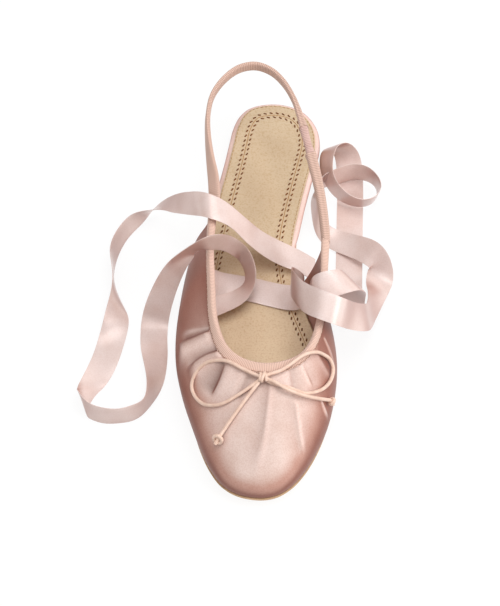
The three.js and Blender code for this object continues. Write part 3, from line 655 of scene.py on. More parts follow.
# Faces of a closed tube through rings of points, turned outwards, and whether they had to be turned
def ring_faces(vertices, around):
    index = np.arange(len(vertices)).reshape(-1, around)
    beside = np.roll(index, -1, axis=1)
    quads = np.stack([index[:-1], beside[:-1], beside[1:], index[1:]], axis=-1).reshape(-1, 4)
    a, b, c, d = (vertices[quads[:, k]] for k in range(4))
    turned = np.sum(a * np.cross(b, c)) + np.sum(a * np.cross(c, d)) < 0
    faces = quads.tolist() + [index[0][::-1].tolist(), index[-1].tolist()]
    return [face[::-1] for face in faces] if turned else faces, turned


CENTIMETRES = 100


# A solid through rings of points, capped at both ends
def sweep(name, rings, sharp_angle=50):
    vertices = rings.reshape(-1, 3)
    faces, turned = ring_faces(vertices, rings.shape[1])
    girth = np.linalg.norm(np.roll(rings, -1, axis=1) - rings, axis=2).mean(axis=0)
    girth = np.concatenate([[0], np.cumsum(girth)])
    length = arc_lengths(rings.mean(axis=1))
    uv = np.stack(np.meshgrid(length * CENTIMETRES, girth * CENTIMETRES, indexing="ij"), axis=-1)
    corner_uv = np.stack([uv[:-1, :-1], uv[:-1, 1:], uv[1:, 1:], uv[1:, :-1]], axis=2)
    if turned:
        corner_uv = corner_uv[:, :, ::-1]
    return mesh_object(name, vertices, faces, corner_uv.reshape(-1, 2), sharp_angle)


# Vertices and faces of a round tube with closed ends
def tube(middle, radius, sides):
    middle = np.asarray(middle, float)
    radius = np.broadcast_to(radius, len(middle))
    tangent = unit(np.gradient(middle, axis=0))
    side = np.cross(tangent, (0, 0, 1))
    side[np.linalg.norm(side, axis=1) < 1e-3] = (1, 0, 0)
    side = unit(side)
    face = np.cross(side, tangent)
    angle = np.arange(sides) * 2 * np.pi / sides
    ring = np.cos(angle)[None, :, None] * side[:, None] + np.sin(angle)[None, :, None] * face[:, None]
    vertices = (middle[:, None] + ring * radius[:, None, None]).reshape(-1, 3)
    return vertices, ring_faces(vertices, sides)[0]


# One object from many small meshes
def joined(name, parts):
    vertices, faces, start = [], [], 0
    for part_vertices, part_faces in parts:
        vertices.append(part_vertices)
        faces += [[corner + start for corner in face] for face in part_faces]
        start += len(part_vertices)
    return mesh_object(name, np.concatenate(vertices), faces)


# A short thread between two points, thinner at both ends: shares of its length and of its radius there
STITCH_SHARES = np.array([0, 0.18, 0.5, 0.82, 1.0])
STITCH_SWELL = np.array([0.45, 0.95, 1, 0.95, 0.45])


def stitch(start, end, radius):
    return tube(start + (end - start) * STITCH_SHARES[:, None], radius * STITCH_SWELL, STITCH_AROUND)


def piece(obj, material, slot, *nodes):
    obj.data.materials.append(material)
    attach(obj, "root")
    if nodes:
        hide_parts(*nodes)
    return obj


# Materials
def srgb(red, green, blue):
    parts = np.array([red, green, blue]) / 255
    linear = np.where(parts <= 0.04045, parts / 12.92, ((parts + 0.055) / 1.055) ** 2.4)
    return (*linear.tolist(), 1.0)


# A wave texture of scale 1 has this many bands in a unit
BANDS_AT_SCALE_1 = 20 / (2 * math.pi)


class Surface:
    def __init__(self, name, roughness, **values):
        self.material = bpy.data.materials.new(name)
        self.material.use_nodes = True
        self.nodes = self.material.node_tree.nodes
        self.shader = self.nodes["Principled BSDF"]
        self.fill(self.shader, Roughness=roughness, **values)

    def put(self, socket, value):
        if isinstance(value, bpy.types.NodeSocket):
            self.material.node_tree.links.new(value, socket)
        else:
            socket.default_value = value

    def fill(self, node, **values):
        for socket, value in values.items():
            self.put(node.inputs[socket.replace("_", " ")], value)
        return node

    def node(self, kind, **values):
        return self.fill(self.nodes.new("ShaderNode" + kind), **values)

    def place(self, kind):
        return self.node("TexCoord").outputs[kind]

    def noise(self, scale, detail):
        node = self.node("TexNoise", Scale=scale, Detail=detail, Vector=self.place("Object"))
        return node.outputs["Fac"]

    def ribs(self, per_centimetre):
        scale = per_centimetre / BANDS_AT_SCALE_1
        return self.node("TexWave", Scale=scale, Distortion=0.3, Vector=self.place("UV")).outputs["Fac"]

    def ramp(self, factor, *stops):
        node = self.node("ValToRGB", Fac=factor)
        node.color_ramp.interpolation = "EASE"
        elements = node.color_ramp.elements
        while len(elements) < len(stops):
            elements.new(0.5)
        for element, (position, colour) in zip(elements, stops):
            element.position = position
            element.color = colour
        return node.outputs["Color"]

    def facing(self):
        return self.node("LayerWeight", Blend=0.5).outputs["Facing"]

    def axis_of(self, vector, axis):
        return self.node("SeparateXYZ", Vector=vector).outputs[axis]

    def along_shoe(self, start, end):
        along = self.axis_of(self.place("Object"), "Y")
        return self.node("MapRange", From_Min=start, From_Max=end, Value=along).outputs["Result"]

    def leaning(self):
        return self.axis_of(self.node("NewGeometry").outputs["Normal"], "Z")

    def own(self, name):
        node = self.node("Attribute")
        node.attribute_name = name
        return node.outputs["Fac"]

    def mix(self, factor, first, second, blend="MIX"):
        node = self.node("Mix")
        node.data_type = "RGBA"
        node.blend_type = blend
        for index, value in ((0, factor), (6, first), (7, second)):
            self.put(node.inputs[index], value)
        return node.outputs[2]

    def times(self, first, second, factor=1.0):
        return self.mix(factor, first, second, "MULTIPLY")

    def colour(self, socket):
        self.fill(self.shader, Base_Color=socket)

    def bump(self, height, strength, distance, below=None):
        node = self.node("Bump", Strength=strength, Distance=distance, Height=height)
        if below is not None:
            self.fill(node, Normal=below)
        self.fill(self.shader, Normal=node.outputs["Normal"])
        return node.outputs["Normal"]


WHITE = srgb(255, 255, 255)
SATIN_GLINT = srgb(255, 232, 224)
CLOUD_TONE = srgb(246, 240, 237)
COARSE_GRAIN = srgb(246, 240, 237)
FINE_GRAIN = srgb(249, 246, 244)
# Painted light on the rolls of folds and painted shade in their creases
PAINTED_FOLD_LIGHT = srgb(248, 224, 215)
PAINTED_FOLD_SHADE = srgb(98, 57, 47)
# Painted sheen and shade: tones by how far the satin turns away from the viewer, and painted shade on the
# upper's walls by the height of their normals
FOLDED_TURNS = (0.02, 0.26, 0.54, 0.85)
SMOOTH_TURNS = (0.05, 0.38, 0.70, 0.97)
UPPER_PAINTED_SHEEN = (srgb(222, 200, 191), srgb(218, 190, 180), srgb(174, 130, 117), srgb(178, 135, 123))
RIBBON_PAINTED_SHEEN = (srgb(224, 206, 201), srgb(228, 206, 199), srgb(188, 147, 136), srgb(218, 192, 185))
RIM_PAINTED_SHEEN = (srgb(242, 218, 210), srgb(232, 198, 189), srgb(196, 152, 141), srgb(226, 190, 181))
# Painted shade: the upper's walls are deeper the lower their normals point, as if lit from above
WALL_LEANS = (0.20, 0.54, 0.82)
WALL_PAINTED_SHADE = (srgb(208, 182, 173), srgb(226, 203, 195), WHITE)

# Noise in the satin, as blobs per metre and detail, and the strength and depth of its relief
SATIN_CLOUDS = (80, 3)
SATIN_GRAIN = (1500, 3)
SATIN_WEAVE = (2600, 1)
SATIN_RIPPLES = (130, 2)
WEAVE_RELIEF = (0.2, 0.00006)
RIPPLE_RELIEF = (0.10, 0.0004)


# Satin with painted sheen: its colour deepens where it turns away from the viewer; the upper has painted
# shade on steep walls, and painted light and painted shade along its folds
def satin(name, turns, tones, roughness, gloss, coat, grain_tone, folded=False):
    made = Surface(name, roughness, Sheen_Weight=0.05, Specular_IOR_Level=gloss, Specular_Tint=SATIN_GLINT)
    made.fill(made.shader, Coat_Weight=coat, Coat_Roughness=0.35)
    # Painted sheen and shade: paler where the satin faces the viewer, deeper where it turns away
    colour = made.ramp(made.facing(), *zip(turns, tones))
    if folded:
        # Painted shade on steep walls
        colour = made.times(colour, made.ramp(made.leaning(), *zip(WALL_LEANS, WALL_PAINTED_SHADE)))
        # Painted light on the rolls of the folds, then painted shade in their creases
        colour = made.mix(made.own("painted_fold_light"), colour, PAINTED_FOLD_LIGHT)
        colour = made.mix(made.own("painted_fold_shade"), colour, PAINTED_FOLD_SHADE)
    clouds = made.ramp(made.noise(*SATIN_CLOUDS), (0.35, WHITE), (0.75, CLOUD_TONE))
    grain = made.ramp(made.noise(*SATIN_GRAIN), (0.35, grain_tone), (0.60, WHITE))
    made.colour(made.times(made.times(colour, clouds), grain))
    weave = made.bump(made.noise(*SATIN_WEAVE), *WEAVE_RELIEF)
    made.bump(made.noise(*SATIN_RIPPLES), *RIPPLE_RELIEF, weave)
    return made.material


# Elastic with ribs across it
def ribbed(name, light, deep, ribs_per_cm):
    made = Surface(name, 0.75, Sheen_Weight=0.15, Specular_IOR_Level=0.3)
    ribs = made.ribs(ribs_per_cm)
    made.colour(made.mix(0.45, made.ramp(ribs, (0.05, deep), (0.5, light)), light))
    threads = made.bump(made.noise(3000, 1), 0.2, 0.00005)
    made.bump(ribs, 0.5, 0.00010, threads)
    return made.material


# Suede, darker towards the heel: painted light keeps the insole paler towards the toe, where the vamp and
# ribbons shade it
def suede():
    made = Surface("sock_suede", 0.92, Sheen_Weight=0.2, Specular_IOR_Level=0.2)
    patches = made.ramp(made.noise(45, 4), (0.3, srgb(229, 202, 169)), (0.72, srgb(239, 214, 181)))
    specks = made.ramp(made.noise(1100, 3), (0.30, srgb(226, 206, 180)), (0.55, WHITE))
    # Painted light: paler towards the toe, darker towards the heel
    toe_painted_light = made.ramp(made.along_shoe(-0.05, 0.05), (0.0, WHITE), (1.0, srgb(219, 218, 216)))
    made.colour(made.times(made.times(patches, toe_painted_light), specks, 0.45))
    made.bump(made.noise(1500, 4), 0.35, 0.0002)
    return made.material


# A plain material: scale and detail of its tones and of its grain, then the grain's strength and depth
def plain(name, roughness, dark, light, spots, grain, relief, dark_stop=0.3, **values):
    made = Surface(name, roughness, **values)
    made.colour(made.ramp(made.noise(*spots), (dark_stop, dark), (0.7, light)))
    made.bump(made.noise(*grain), *relief)
    return made.material


def thread(name, dark, light):
    return plain(name, 0.7, dark, light, (1500, 2), (4000, 2), (0.2, 0.0001), 0.35, Specular_IOR_Level=0.3)


# Each satin's colour carries painted sheen and shade by facing
UPPER_SATIN = satin("upper_satin", FOLDED_TURNS, UPPER_PAINTED_SHEEN, 0.42, 0.22, 0.0, COARSE_GRAIN, True)
RIBBON_SATIN = satin("ribbon_satin", SMOOTH_TURNS, RIBBON_PAINTED_SHEEN, 0.34, 0.9, 0.7, FINE_GRAIN)
RIM_SATIN = satin("rim_satin", SMOOTH_TURNS, RIM_PAINTED_SHEEN, 0.40, 0.6, 0.1, FINE_GRAIN)
ELASTIC = ribbed("elastic", srgb(222, 189, 173), srgb(150, 106, 88), 12)
STRAP_ELASTIC = ribbed("strap_elastic", srgb(212, 179, 163), srgb(140, 100, 84), 10)
SLEEVE_SATIN = ribbed("sleeve_satin", srgb(212, 178, 168), srgb(150, 108, 98), 10)
SUEDE = suede()
LEATHER = plain(
    "outsole_leather", 0.6, srgb(196, 158, 120), srgb(214, 180, 142), (70, 4), (700, 4), (0.3, 0.0002)
)
LIFT = plain("heel_lift", 0.65, srgb(168, 130, 98), srgb(186, 148, 114), (90, 4), (900, 3), (0.25, 0.0002))
CORD_TONES = (srgb(220, 186, 166), srgb(230, 200, 182))
CORD_SHEEN = {"Sheen_Weight": 0.15, "Specular_IOR_Level": 0.4}
CORD = plain("bow_cord", 0.5, *CORD_TONES, (300, 3), (2200, 3), (0.25, 0.0001), **CORD_SHEEN)
BROWN_THREAD = thread("brown_thread", srgb(98, 58, 28), srgb(138, 88, 46))
LINE_THREAD = thread("line_thread", srgb(158, 110, 62), srgb(184, 136, 84))
GOLD_THREAD = thread("gold_thread", srgb(150, 108, 66), srgb(196, 156, 110))
SEAM_THREAD = thread("seam_thread", srgb(132, 92, 74), srgb(168, 124, 104))

# Ribbons, thinner at both edges: places across one face and then back across the other, and above or below
EDGE_THINNING = 0.5
EDGE_SHARPNESS = 8
ONE_FACE = np.linspace(1, -1, RIBBON_HALF_RING)
RIBBON_ACROSS = np.concatenate([ONE_FACE, ONE_FACE[::-1]])
RIBBON_THINNING = EDGE_THINNING * np.abs(RIBBON_ACROSS) ** EDGE_SHARPNESS
RIBBON_THROUGH = np.repeat([1, -1], RIBBON_HALF_RING) * (1 - RIBBON_THINNING)
RIBBON_SOFTENING = 3


def ribbon(name, route, exit_row, node):
    rows = np.array(route)
    numbers = read_table(rows, route_places(rows), shares(RIBBON_STEPS))
    middle = soften(plan_point(*numbers[:, :3].T), RIBBON_SOFTENING)
    side = soften(numbers[:, 3:] * (1, -1, 1), RIBBON_SOFTENING)
    tangent = unit(np.gradient(middle, axis=0))
    face = unit(np.cross(tangent, side))
    side = unit(side)
    rings = (
        middle[:, None]
        + side[:, None] * (RIBBON_ACROSS * RIBBON_WIDTH / 2)[:, None]
        + face[:, None] * (RIBBON_THROUGH * RIBBON_THICKNESS / 2)[:, None]
    )
    made = piece(sweep(name, rings), RIBBON_SATIN, "ribbon_satin", node)
    exit_point = plan_point(*rows[exit_row, :3])


ribbon("ribbon_lateral_satin", RIBBON_LATERAL, 0, "ribbon_lateral")
ribbon("ribbon_medial_satin", RIBBON_MEDIAL, -1, "ribbon_medial")

# Bow of round cord: radius and upward tilt of the ring that shows each end's knot, and its lean
KNOT_PLACE = (0.0040, 0.1910, 0.0414)
KNOT_LATERAL = (0.0021, 0.8)
KNOT_MEDIAL = (0.0014, 0.1)
KNOT_LEAN = 0.15


# A ring of cord round the last row but one of a bow's end
def end_knot(points, radius, tilt):
    axis = unit(unit(points[-1] - points[-4]) + (0, 0, tilt))
    side = unit(np.cross(axis, (0, 0, 1)))
    face = np.cross(side, axis)
    angle = 2 * np.pi * shares(KNOT_STEPS)[:, None]
    ring = np.cos(angle) * side + np.sin(angle) * face + KNOT_LEAN * np.cos(angle) * axis
    return tube(points[-2] + radius * ring, CORD_RADIUS, CORD_AROUND)


# A cord of the bow comes out of the knot, and a loop goes back into it
def bow_cord(name, route, node, knot=None):
    shown = np.array([KNOT_PLACE, *route[1:]] if knot else [KNOT_PLACE, *route, KNOT_PLACE])
    middle = plan_point(*read_table(shown, route_places(shown), shares(CORD_STEPS)).T)
    parts = [tube(middle, CORD_RADIUS, CORD_AROUND)]
    if knot:
        parts.append(end_knot(plan_point(*shown.T), *knot))
    made = piece(joined(name, parts), CORD, "bow_cord", node)


bow_cord("bow_loop_lateral_cord", BOW_LOOP_LATERAL, "bow_loop_lateral")
bow_cord("bow_loop_medial_cord", BOW_LOOP_MEDIAL, "bow_loop_medial")
bow_cord("bow_end_lateral_cord", BOW_END_LATERAL, "bow_end_lateral", KNOT_LATERAL)
bow_cord("bow_end_medial_cord", BOW_END_MEDIAL, "bow_end_medial", KNOT_MEDIAL)

# Knot of the bow: offset to the medial side, half length along the shoe, half height and slant of each wrap
KNOT_CORD = CORD_RADIUS * 0.9
KNOT_WRAPS = (
    (-0.0012, 0.0019, 0.0013, 0.0002),
    (0.0002, 0.0023, 0.0016, 0.0007),
    (0.0015, 0.0017, 0.0012, -0.0003),
)


def knot_wrap(offset, half_long, half_high, slant):
    angle = 2 * np.pi * shares(KNOT_STEPS)
    across = offset + slant * np.cos(angle)
    ring = np.stack([across, half_long * np.cos(angle), half_high * np.sin(angle)], axis=1)
    return tube(plan_point(*KNOT_PLACE) + ring, KNOT_CORD, KNOT_AROUND)


knot = joined("bow_knot_cord", [knot_wrap(*wrap) for wrap in KNOT_WRAPS])
piece(knot, CORD, "bow_cord", "bow_knot")

# Edges of the sole's layers from the bottom up: inset at the heel and at the toe, height above the underside
WAIST_START = 0.082
WAIST_END = 0.104
OUTSOLE_EDGE = (
    (0.0024, 0.0015, 0.0),
    (0.0018, 0.0009, 0.0004),
    (0.0011, 0.0001, OUTSOLE_TOP - 0.0007),
    (0.0010, 0.0, OUTSOLE_TOP - 0.0003),
    (0.0013, 0.0004, OUTSOLE_TOP),
)
RIM_EDGE = (
    (0.0005, 0.0031, BOARD_BOTTOM),
    (0.0001, 0.0027, BOARD_BOTTOM + 0.0005),
    (0.0, 0.0027, BOARD_BOTTOM + 0.0014),
    (0.0001, 0.0027, BOARD_BOTTOM + 0.0024),
    (0.0006, 0.0030, BOARD_TOP - 0.0003),
    (0.0012, 0.0034, BOARD_TOP),
)
SOCK_EDGE = (
    (0.0026, 0.0033, INSOLE_BOTTOM),
    (0.0026, 0.0033, INSOLE_TOP - 0.0004),
    (0.0028, 0.0034, INSOLE_TOP - 0.0001),
    (0.0033, 0.0038, INSOLE_TOP),
)
# Edge of the heel lift from the floor up: inset and height
LIFT_EDGE = ((0.0004, 0.0), (0.0, 0.0004), (0.0, LIFT_HEIGHT - 0.0002), (0.0002, LIFT_HEIGHT))


# A layer of the sole: loops up its edge, closed across at the bottom and the top by ladders of faces
def sole_layer(name, edge, columns=10):
    count, half = OUTLINE_STEPS, OUTLINE_STEPS // 2
    turn = np.arange(count) / count
    toe_share = smoothstep(along_of(outline_point(turn)), WAIST_START, WAIST_END)
    rings = []
    for at_heel, at_toe, height in edge:
        rings.append(at_height(edge_point(turn, at_heel + (at_toe - at_heel) * toe_share), height))
    vertices = list(np.concatenate(rings))
    faces = []
    for low in range(0, (len(rings) - 1) * count, count):
        high = low + count
        for i in range(count):
            j = (i + 1) % count
            faces.append([low + j, high + j, high + i, low + i])
    for level, upwards in ((0, False), (len(rings) - 1, True)):
        start = level * count
        rows = [[start] * (columns + 1)]
        for i in range(1, half):
            left, right = rings[level][i], rings[level][count - i]
            row = [start + i]
            for k in range(1, columns):
                row.append(len(vertices))
                vertices.append(at_height(left + (right - left) * k / columns, edge[level][2]))
            rows.append(row + [start + count - i])
        rows.append([start + half] * (columns + 1))
        for near, far in zip(rows[:-1], rows[1:]):
            for k in range(columns):
                face = list(dict.fromkeys([near[k], near[k + 1], far[k + 1], far[k]]))
                if len(face) > 2:
                    faces.append(face[::-1] if upwards else face)
    return mesh_object(name, vertices, faces)


def heel_lift():
    breast = turn_at("lateral", LIFT_LENGTH)
    turn = np.linspace(-breast, breast, LIFT_STEPS + 1) % 1
    rings = []
    for inset, height in LIFT_EDGE:
        ring = edge_point(turn, np.full(len(turn), LIFT_INSET + inset))
        ring[:, 2] = height
        rings.append(ring)
    return sweep("heel_lift_block", np.array(rings), sharp_angle=30)


piece(sole_layer("outsole_sheet", OUTSOLE_EDGE), LEATHER, "outsole_leather", "outsole")
piece(sole_layer("footbed_rim", RIM_EDGE), RIM_SATIN, "rim_satin", "footbed")
piece(sole_layer("insole_sock", SOCK_EDGE, columns=24), SUEDE, "sock_suede", "insole")
piece(heel_lift(), LIFT, "heel_lift", "heel_lift")

# Folds start at this depth below the topline and are full at the second
FOLDS_START = 0.0034
FOLDS_FULL = 0.0046


# Upper of satin: outer face from the sole to the topline, then the inner face back down
def satin_upper():
    place, level = np.meshgrid(shares(UPPER_COLUMNS), shares(UPPER_ROWS), indexing="ij")
    points, normals = upper_face(place, level)
    controls = upper_profile(place)
    depth = 3 * (1 - level) * np.linalg.norm(controls[3] - controls[2], axis=-1)
    lift, light, shade = satin_folds(points, normals)
    lift *= smoothstep(depth, FOLDS_START, FOLDS_FULL)
    outer = points + normals * lift[..., None]
    inner = outer - normals * UPPER_WALL
    rings = np.concatenate([outer, inner[:, ::-1]], axis=1)
    made = sweep("upper_vamp", rings, sharp_angle=60)
    # Painted light and painted shade along the folds, kept as point attributes on both faces
    for name, values in (("painted_fold_light", light), ("painted_fold_shade", shade)):
        tone = made.data.attributes.new(name, "FLOAT", "POINT")
        both_faces = np.concatenate([values, values[:, ::-1]], axis=1)
        tone.data.foreach_set("value", both_faces.astype(np.float32).ravel())
    return made


piece(satin_upper(), UPPER_SATIN, "upper_satin", "upper")

# Binding of ribbed elastic folded over the topline: depth below the edge and distance outside the face
TAPE_OUT = LAYER_GAP + BINDING_TAPE
TAPE_IN = -UPPER_WALL - LAYER_GAP
TAPE_SECTION = (
    (BINDING_DEPTH, TAPE_OUT - 0.0002),
    (BINDING_DEPTH * 0.92, TAPE_OUT + 0.00005),
    (BINDING_DEPTH * 0.6, TAPE_OUT + 0.0001),
    (BINDING_DEPTH * 0.3, TAPE_OUT + 0.0001),
    (0.0, TAPE_OUT),
    (-0.0005, TAPE_OUT - 0.0003),
    (-0.0009, 0.0002),
    (-0.0010, -0.0006),
    (-0.0009, TAPE_IN + 0.0002),
    (-0.0005, TAPE_IN - BINDING_TAPE + 0.0003),
    (0.0, TAPE_IN - BINDING_TAPE),
    (BINDING_DEPTH / 2, TAPE_IN - BINDING_TAPE),
    (BINDING_DEPTH, TAPE_IN - BINDING_TAPE + 0.0002),
    (BINDING_DEPTH, TAPE_IN),
    (BINDING_DEPTH / 2, TAPE_IN),
    (-LAYER_GAP, TAPE_IN),
    (-LAYER_GAP, LAYER_GAP),
    (BINDING_DEPTH / 2, LAYER_GAP),
    (BINDING_DEPTH, LAYER_GAP),
)
TAPE_SWELL = 0.0004
TAPE_SWELL_REACH = 0.10
TAPE_NARROWING = 0.28
NARROWING_START = 0.10
NARROWING_END = 0.26
# Zigzag seam: its end, pitch, radius, height above the tape, shares of the tape's depth, gap in each step
SEAM_END = 0.01
SEAM_PITCH = 0.0016
SEAM_RADIUS = 0.00013
SEAM_HEIGHT = 0.00015
SEAM_TOP = 0.78
SEAM_BOTTOM = 0.97
SEAM_GAP = 0.1


def binding_point(place, depth, out):
    place, depth, out = np.broadcast_arrays(np.asarray(place, float), depth, out)
    controls = upper_profile(place)
    rise = controls[3] - controls[2]
    level = 1 - np.maximum(0, depth) / (3 * np.linalg.norm(rise, axis=-1))
    point, normal = upper_face(place, level)
    return point + normal * out[..., None] + unit(rise) * np.maximum(0, -depth)[..., None]


# The tape shows its whole depth at the throat and less along the sides
def tape_share(place):
    return 1 - TAPE_NARROWING * smoothstep(np.abs(place - 0.5), NARROWING_START, NARROWING_END)


# The tape swells towards its ends, where it runs on into the strap
def tape_binding():
    place = shares(UPPER_COLUMNS)[:, None]
    depth, out = np.array(TAPE_SECTION).T
    near_end = 1 - smoothstep(np.minimum(place, 1 - place), 0.0, TAPE_SWELL_REACH)
    outwards_of_wall = np.sign(out - (TAPE_OUT + TAPE_IN) / 2)
    swollen = out + TAPE_SWELL * near_end * outwards_of_wall
    rings = binding_point(place, depth * tape_share(place), swollen)
    return sweep("topline_binding", rings, sharp_angle=40)


# Stitches to and fro along the lower edge of the tape
def seam_stitches():
    place = np.linspace(SEAM_END, 1 - SEAM_END, SEAM_LINE_POINTS)
    edge = BINDING_DEPTH * tape_share(place)
    upper_row, _ = spaced(binding_point(place, edge * SEAM_TOP, TAPE_OUT + SEAM_HEIGHT), SEAM_PITCH)
    lower_row, _ = spaced(binding_point(place, edge * SEAM_BOTTOM, TAPE_OUT + SEAM_HEIGHT), SEAM_PITCH)
    made = []
    for index in range(min(len(upper_row), len(lower_row)) - 1):
        first, second = (upper_row, lower_row) if index % 2 else (lower_row, upper_row)
        start, step = first[index], second[index + 1] - first[index]
        made.append(stitch(start + step * SEAM_GAP, start + step * (1 - SEAM_GAP), SEAM_RADIUS))
    return made


piece(tape_binding(), ELASTIC, "elastic", "binding")

# Slingback strap: elastic folded lengthwise, so its upper edge has a groove
BAND_ANGLES = np.linspace(0, 2 * np.pi, STRAP_AROUND, endpoint=False)
EDGE_ROUNDNESS = 0.6
FACE_ROUNDNESS = 0.8
GROOVE_DEPTH = 0.12
GROOVE_WIDTH = 0.35
BAND_ACROSS = np.sign(np.cos(BAND_ANGLES)) * np.abs(np.cos(BAND_ANGLES)) ** EDGE_ROUNDNESS
BAND_THROUGH = np.sign(np.sin(BAND_ANGLES)) * np.abs(np.sin(BAND_ANGLES)) ** FACE_ROUNDNESS
BAND_GROOVE = GROOVE_DEPTH * (BAND_ACROSS > 0) * bell(BAND_THROUGH, GROOVE_WIDTH)
NO_GROOVE = np.zeros(STRAP_AROUND)
STRAP_ROWS = np.array(STRAP_ROUTE)
STRAP_PLACES = route_places(STRAP_ROWS)
TUCK_LENGTH = 0.0022
TUCK_SIZE = 0.85
LIP_SIZE = 0.16
LIP_REACH = 0.004
THICKENING = 0.15
THICKENING_REACH = 0.08
SLEEVE_WRINKLES = 15
WRINKLE_SIZE = 0.035
SLEEVE_WAIST = 0.10
SLEEVE_FLATTENING = 0.9


def strap_numbers(place):
    return read_table(STRAP_ROWS, STRAP_PLACES, place)


def strap_middle(place):
    return plan_point(*strap_numbers(place)[..., :3].T)


def strap_axes(place):
    step = 0.004
    tangent = unit(strap_middle(np.minimum(1, place + step)) - strap_middle(np.maximum(0, place - step)))
    inwards = unit(np.cross(tangent, (0, 0, 1)))
    upright = np.cross(inwards, tangent)
    lean = np.radians(strap_numbers(place)[:, 3])[:, None]
    across = upright * np.cos(lean) + inwards * np.sin(lean)
    return across, np.cross(tangent, across)


# A smaller ring past the strap's end, inside the tape that it is sewn into
def tucked(ring, direction):
    centre = ring.mean(axis=0)
    return centre + (ring - centre) * TUCK_SIZE + unit(direction) * TUCK_LENGTH


def strap_piece(name, place, wide, thick, groove):
    across, through = strap_axes(place)
    middle = strap_middle(place)
    rings = (
        middle[:, None]
        + across[:, None] * ((BAND_ACROSS - groove) * wide[:, None] / 2)[..., None]
        + through[:, None] * (BAND_THROUGH * thick[:, None] / 2)[..., None]
    )
    if place[0] == 0:
        rings = np.concatenate([[tucked(rings[0], middle[0] - middle[1])], rings])
    if place[-1] == 1:
        rings = np.concatenate([rings, [tucked(rings[-1], middle[-1] - middle[-2])]])
    return sweep(name, rings, sharp_angle=60)


# A band of elastic with a thicker lip where it takes the sleeve in
def strap_band(name, start, end, lip_place):
    place = np.linspace(start, end, round((end - start) * STRAP_STEPS) + 1)
    wide, thick = strap_numbers(place)[:, 4:].T
    lip = 1 + LIP_SIZE * bell(place - lip_place, LIP_REACH)
    near_lip = 1 + THICKENING * bell(place - lip_place, THICKENING_REACH)
    return strap_piece(name, place, wide * lip, thick * lip * near_lip, BAND_GROOVE)


# The sleeve is gathered into small crosswise wrinkles and is narrower half-way
def sleeve_tube():
    share = shares(SLEEVE_STEPS)
    place = SLEEVE_FROM - STRAP_GAP + (SLEEVE_TO - SLEEVE_FROM + 2 * STRAP_GAP) * share
    wrinkles = WRINKLE_SIZE * np.sin(2 * np.pi * SLEEVE_WRINKLES * share)
    size = 1 + wrinkles - SLEEVE_WAIST * np.sin(np.pi * share) ** 2
    thick = SLEEVE_THICK * SLEEVE_FLATTENING * size
    return strap_piece("strap_sleeve_tube", place, SLEEVE_WIDE * size, thick, NO_GROOVE)


long_band = strap_band("strap_long_band", 0, SLEEVE_FROM, SLEEVE_FROM)
piece(long_band, STRAP_ELASTIC, "elastic", "strap_long")
short_band = strap_band("strap_short_band", SLEEVE_TO, 1, SLEEVE_TO)
piece(short_band, STRAP_ELASTIC, "elastic", "strap_short")
piece(sleeve_tube(), SLEEVE_SATIN, "sleeve_satin", "strap_sleeve")

# Stitches of the insole: two rows of slanted threads with a line between them, and one row at the edge
ROW_INSETS = (0.0082, 0.0110)
ROW_ENDS = (0.194, 0.194)
ROW_PITCH = 0.0033
ROW_STITCH = 0.0019
ROW_RADIUS = 0.00042
ROW_SLANT = math.radians(-25)
LINE_INSET = 0.0096
LINE_RADIUS = 0.00016
EDGE_INSET = 0.0034
EDGE_ENDS = (0.099, 0.105)
EDGE_PITCH = 0.0024
EDGE_STITCH = 0.0018
EDGE_RADIUS = 0.00018


# A line round the insole, from a place along the lateral side past the heel to one on the medial side
def insole_line(inset, ends):
    lateral, medial = turn_at("lateral", ends[0]), turn_at("medial", ends[1])
    turn = np.linspace(lateral, medial - 1, STITCH_LINE_POINTS)
    return at_height(edge_point(turn % 1, np.full(len(turn), inset)), INSOLE_TOP)


def stitch_row(line, pitch, length, radius, slant=0.0):
    made = []
    for place, (x, y, z) in zip(*spaced(line, pitch)):
        turned_x = x * math.cos(slant) - y * math.sin(slant)
        turned_y = x * math.sin(slant) + y * math.cos(slant)
        half = np.array([turned_x, turned_y, z]) * length / 2
        made.append(stitch(place - half, place + half, radius))
    return made


stitches = []
for inset in ROW_INSETS:
    stitches += stitch_row(insole_line(inset, ROW_ENDS), ROW_PITCH, ROW_STITCH, ROW_RADIUS, ROW_SLANT)
piece(joined("insole_stitches", stitches), BROWN_THREAD, "sock_suede")
line_tube = tube(insole_line(LINE_INSET, ROW_ENDS), LINE_RADIUS, INSOLE_LINE_AROUND)
piece(joined("insole_line", [line_tube]), LINE_THREAD, "sock_suede")
edge_stitches = stitch_row(insole_line(EDGE_INSET, EDGE_ENDS), EDGE_PITCH, EDGE_STITCH, EDGE_RADIUS)
piece(joined("insole_edge_stitches", edge_stitches), GOLD_THREAD, "sock_suede")
piece(joined("binding_seam", seam_stitches()), SEAM_THREAD, "elastic")

# Camera, from the photograph: the shoe's toe points to the viewer
IMAGE_HEIGHT = 606
FOCAL_PIXELS = 2145
SENSOR = 36.0
CAMERA_DISTANCE = 1.1
CAMERA_AZIMUTH = math.radians(2.1)
CAMERA_ELEVATION = math.radians(57.0)
CAMERA_TARGET = np.array((-0.00445, -0.01077, 0.015))

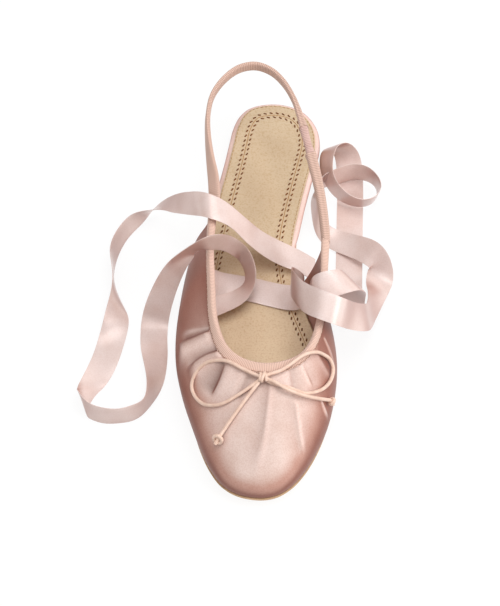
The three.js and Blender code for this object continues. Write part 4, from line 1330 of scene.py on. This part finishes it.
# Soft studio light: name, place and power of each square lamp, all turned to one place on the floor
LAMPS = (
    ("overhead", (0.15, 0.02, 1.3), 10),
    ("right", (1.2, -0.35, 0.75), 12.5),
    ("back", (0.1, 1.25, 0.6), 3),
    ("front", (-0.6, -0.6, 1.0), 4),
)
LAMP_SIZE = 0.9
LAMP_TARGET = (0.0, -0.02, 0.0)
WORLD_STRENGTH = 0.28
FLOOR_HALF = 4.0
FLOOR_LEVEL = -0.0002
FLOOR_GLOW = 0.88


def aimed(name, data, location, target):
    made = bpy.data.objects.new(name, data)
    bpy.context.scene.collection.objects.link(made)
    ahead = unit(np.asarray(target) - location)
    right = unit(np.cross(ahead, (0, 0, 1)))
    matrix = np.eye(4)
    matrix[:3] = np.stack([right, np.cross(right, ahead), -ahead, location], axis=1)
    made.matrix_world = Matrix(matrix.tolist())
    return made


def camera_place():
    level = math.cos(CAMERA_ELEVATION)
    sideways, backwards = math.sin(CAMERA_AZIMUTH) * level, -math.cos(CAMERA_AZIMUTH) * level
    return CAMERA_TARGET + CAMERA_DISTANCE * np.array([sideways, backwards, math.sin(CAMERA_ELEVATION)])


camera_data = bpy.data.cameras.new("camera")
camera_data.sensor_width = SENSOR
camera_data.lens = FOCAL_PIXELS / IMAGE_HEIGHT * SENSOR
bpy.context.scene.camera = aimed("camera", camera_data, camera_place(), CAMERA_TARGET)

for name, place, power in LAMPS:
    lamp_data = bpy.data.lights.new(name, "AREA")
    lamp_data.size = LAMP_SIZE
    lamp_data.energy = power
    aimed(name, lamp_data, place, LAMP_TARGET)

world = bpy.data.worlds.new("world")
world.use_nodes = True
world.node_tree.nodes["Background"].inputs["Color"].default_value = WHITE
world.node_tree.nodes["Background"].inputs["Strength"].default_value = WORLD_STRENGTH
bpy.context.scene.world = world
bpy.context.scene.view_settings.view_transform = "Standard"

corners = np.array([(-1, -1, 0), (1, -1, 0), (1, 1, 0), (-1, 1, 0)]) * FLOOR_HALF + (0, 0, FLOOR_LEVEL)
floor = mesh_object("floor", corners, [[0, 1, 2, 3]])
paper = Surface("floor_paper", 0.9, Specular_IOR_Level=0.0)
paper.fill(paper.shader, Emission_Color=WHITE, Emission_Strength=FLOOR_GLOW)
paper.colour(paper.ramp(paper.noise(3, 2), (0.3, srgb(96, 96, 96)), (0.7, srgb(100, 100, 100))))
floor.data.materials.append(paper.material)
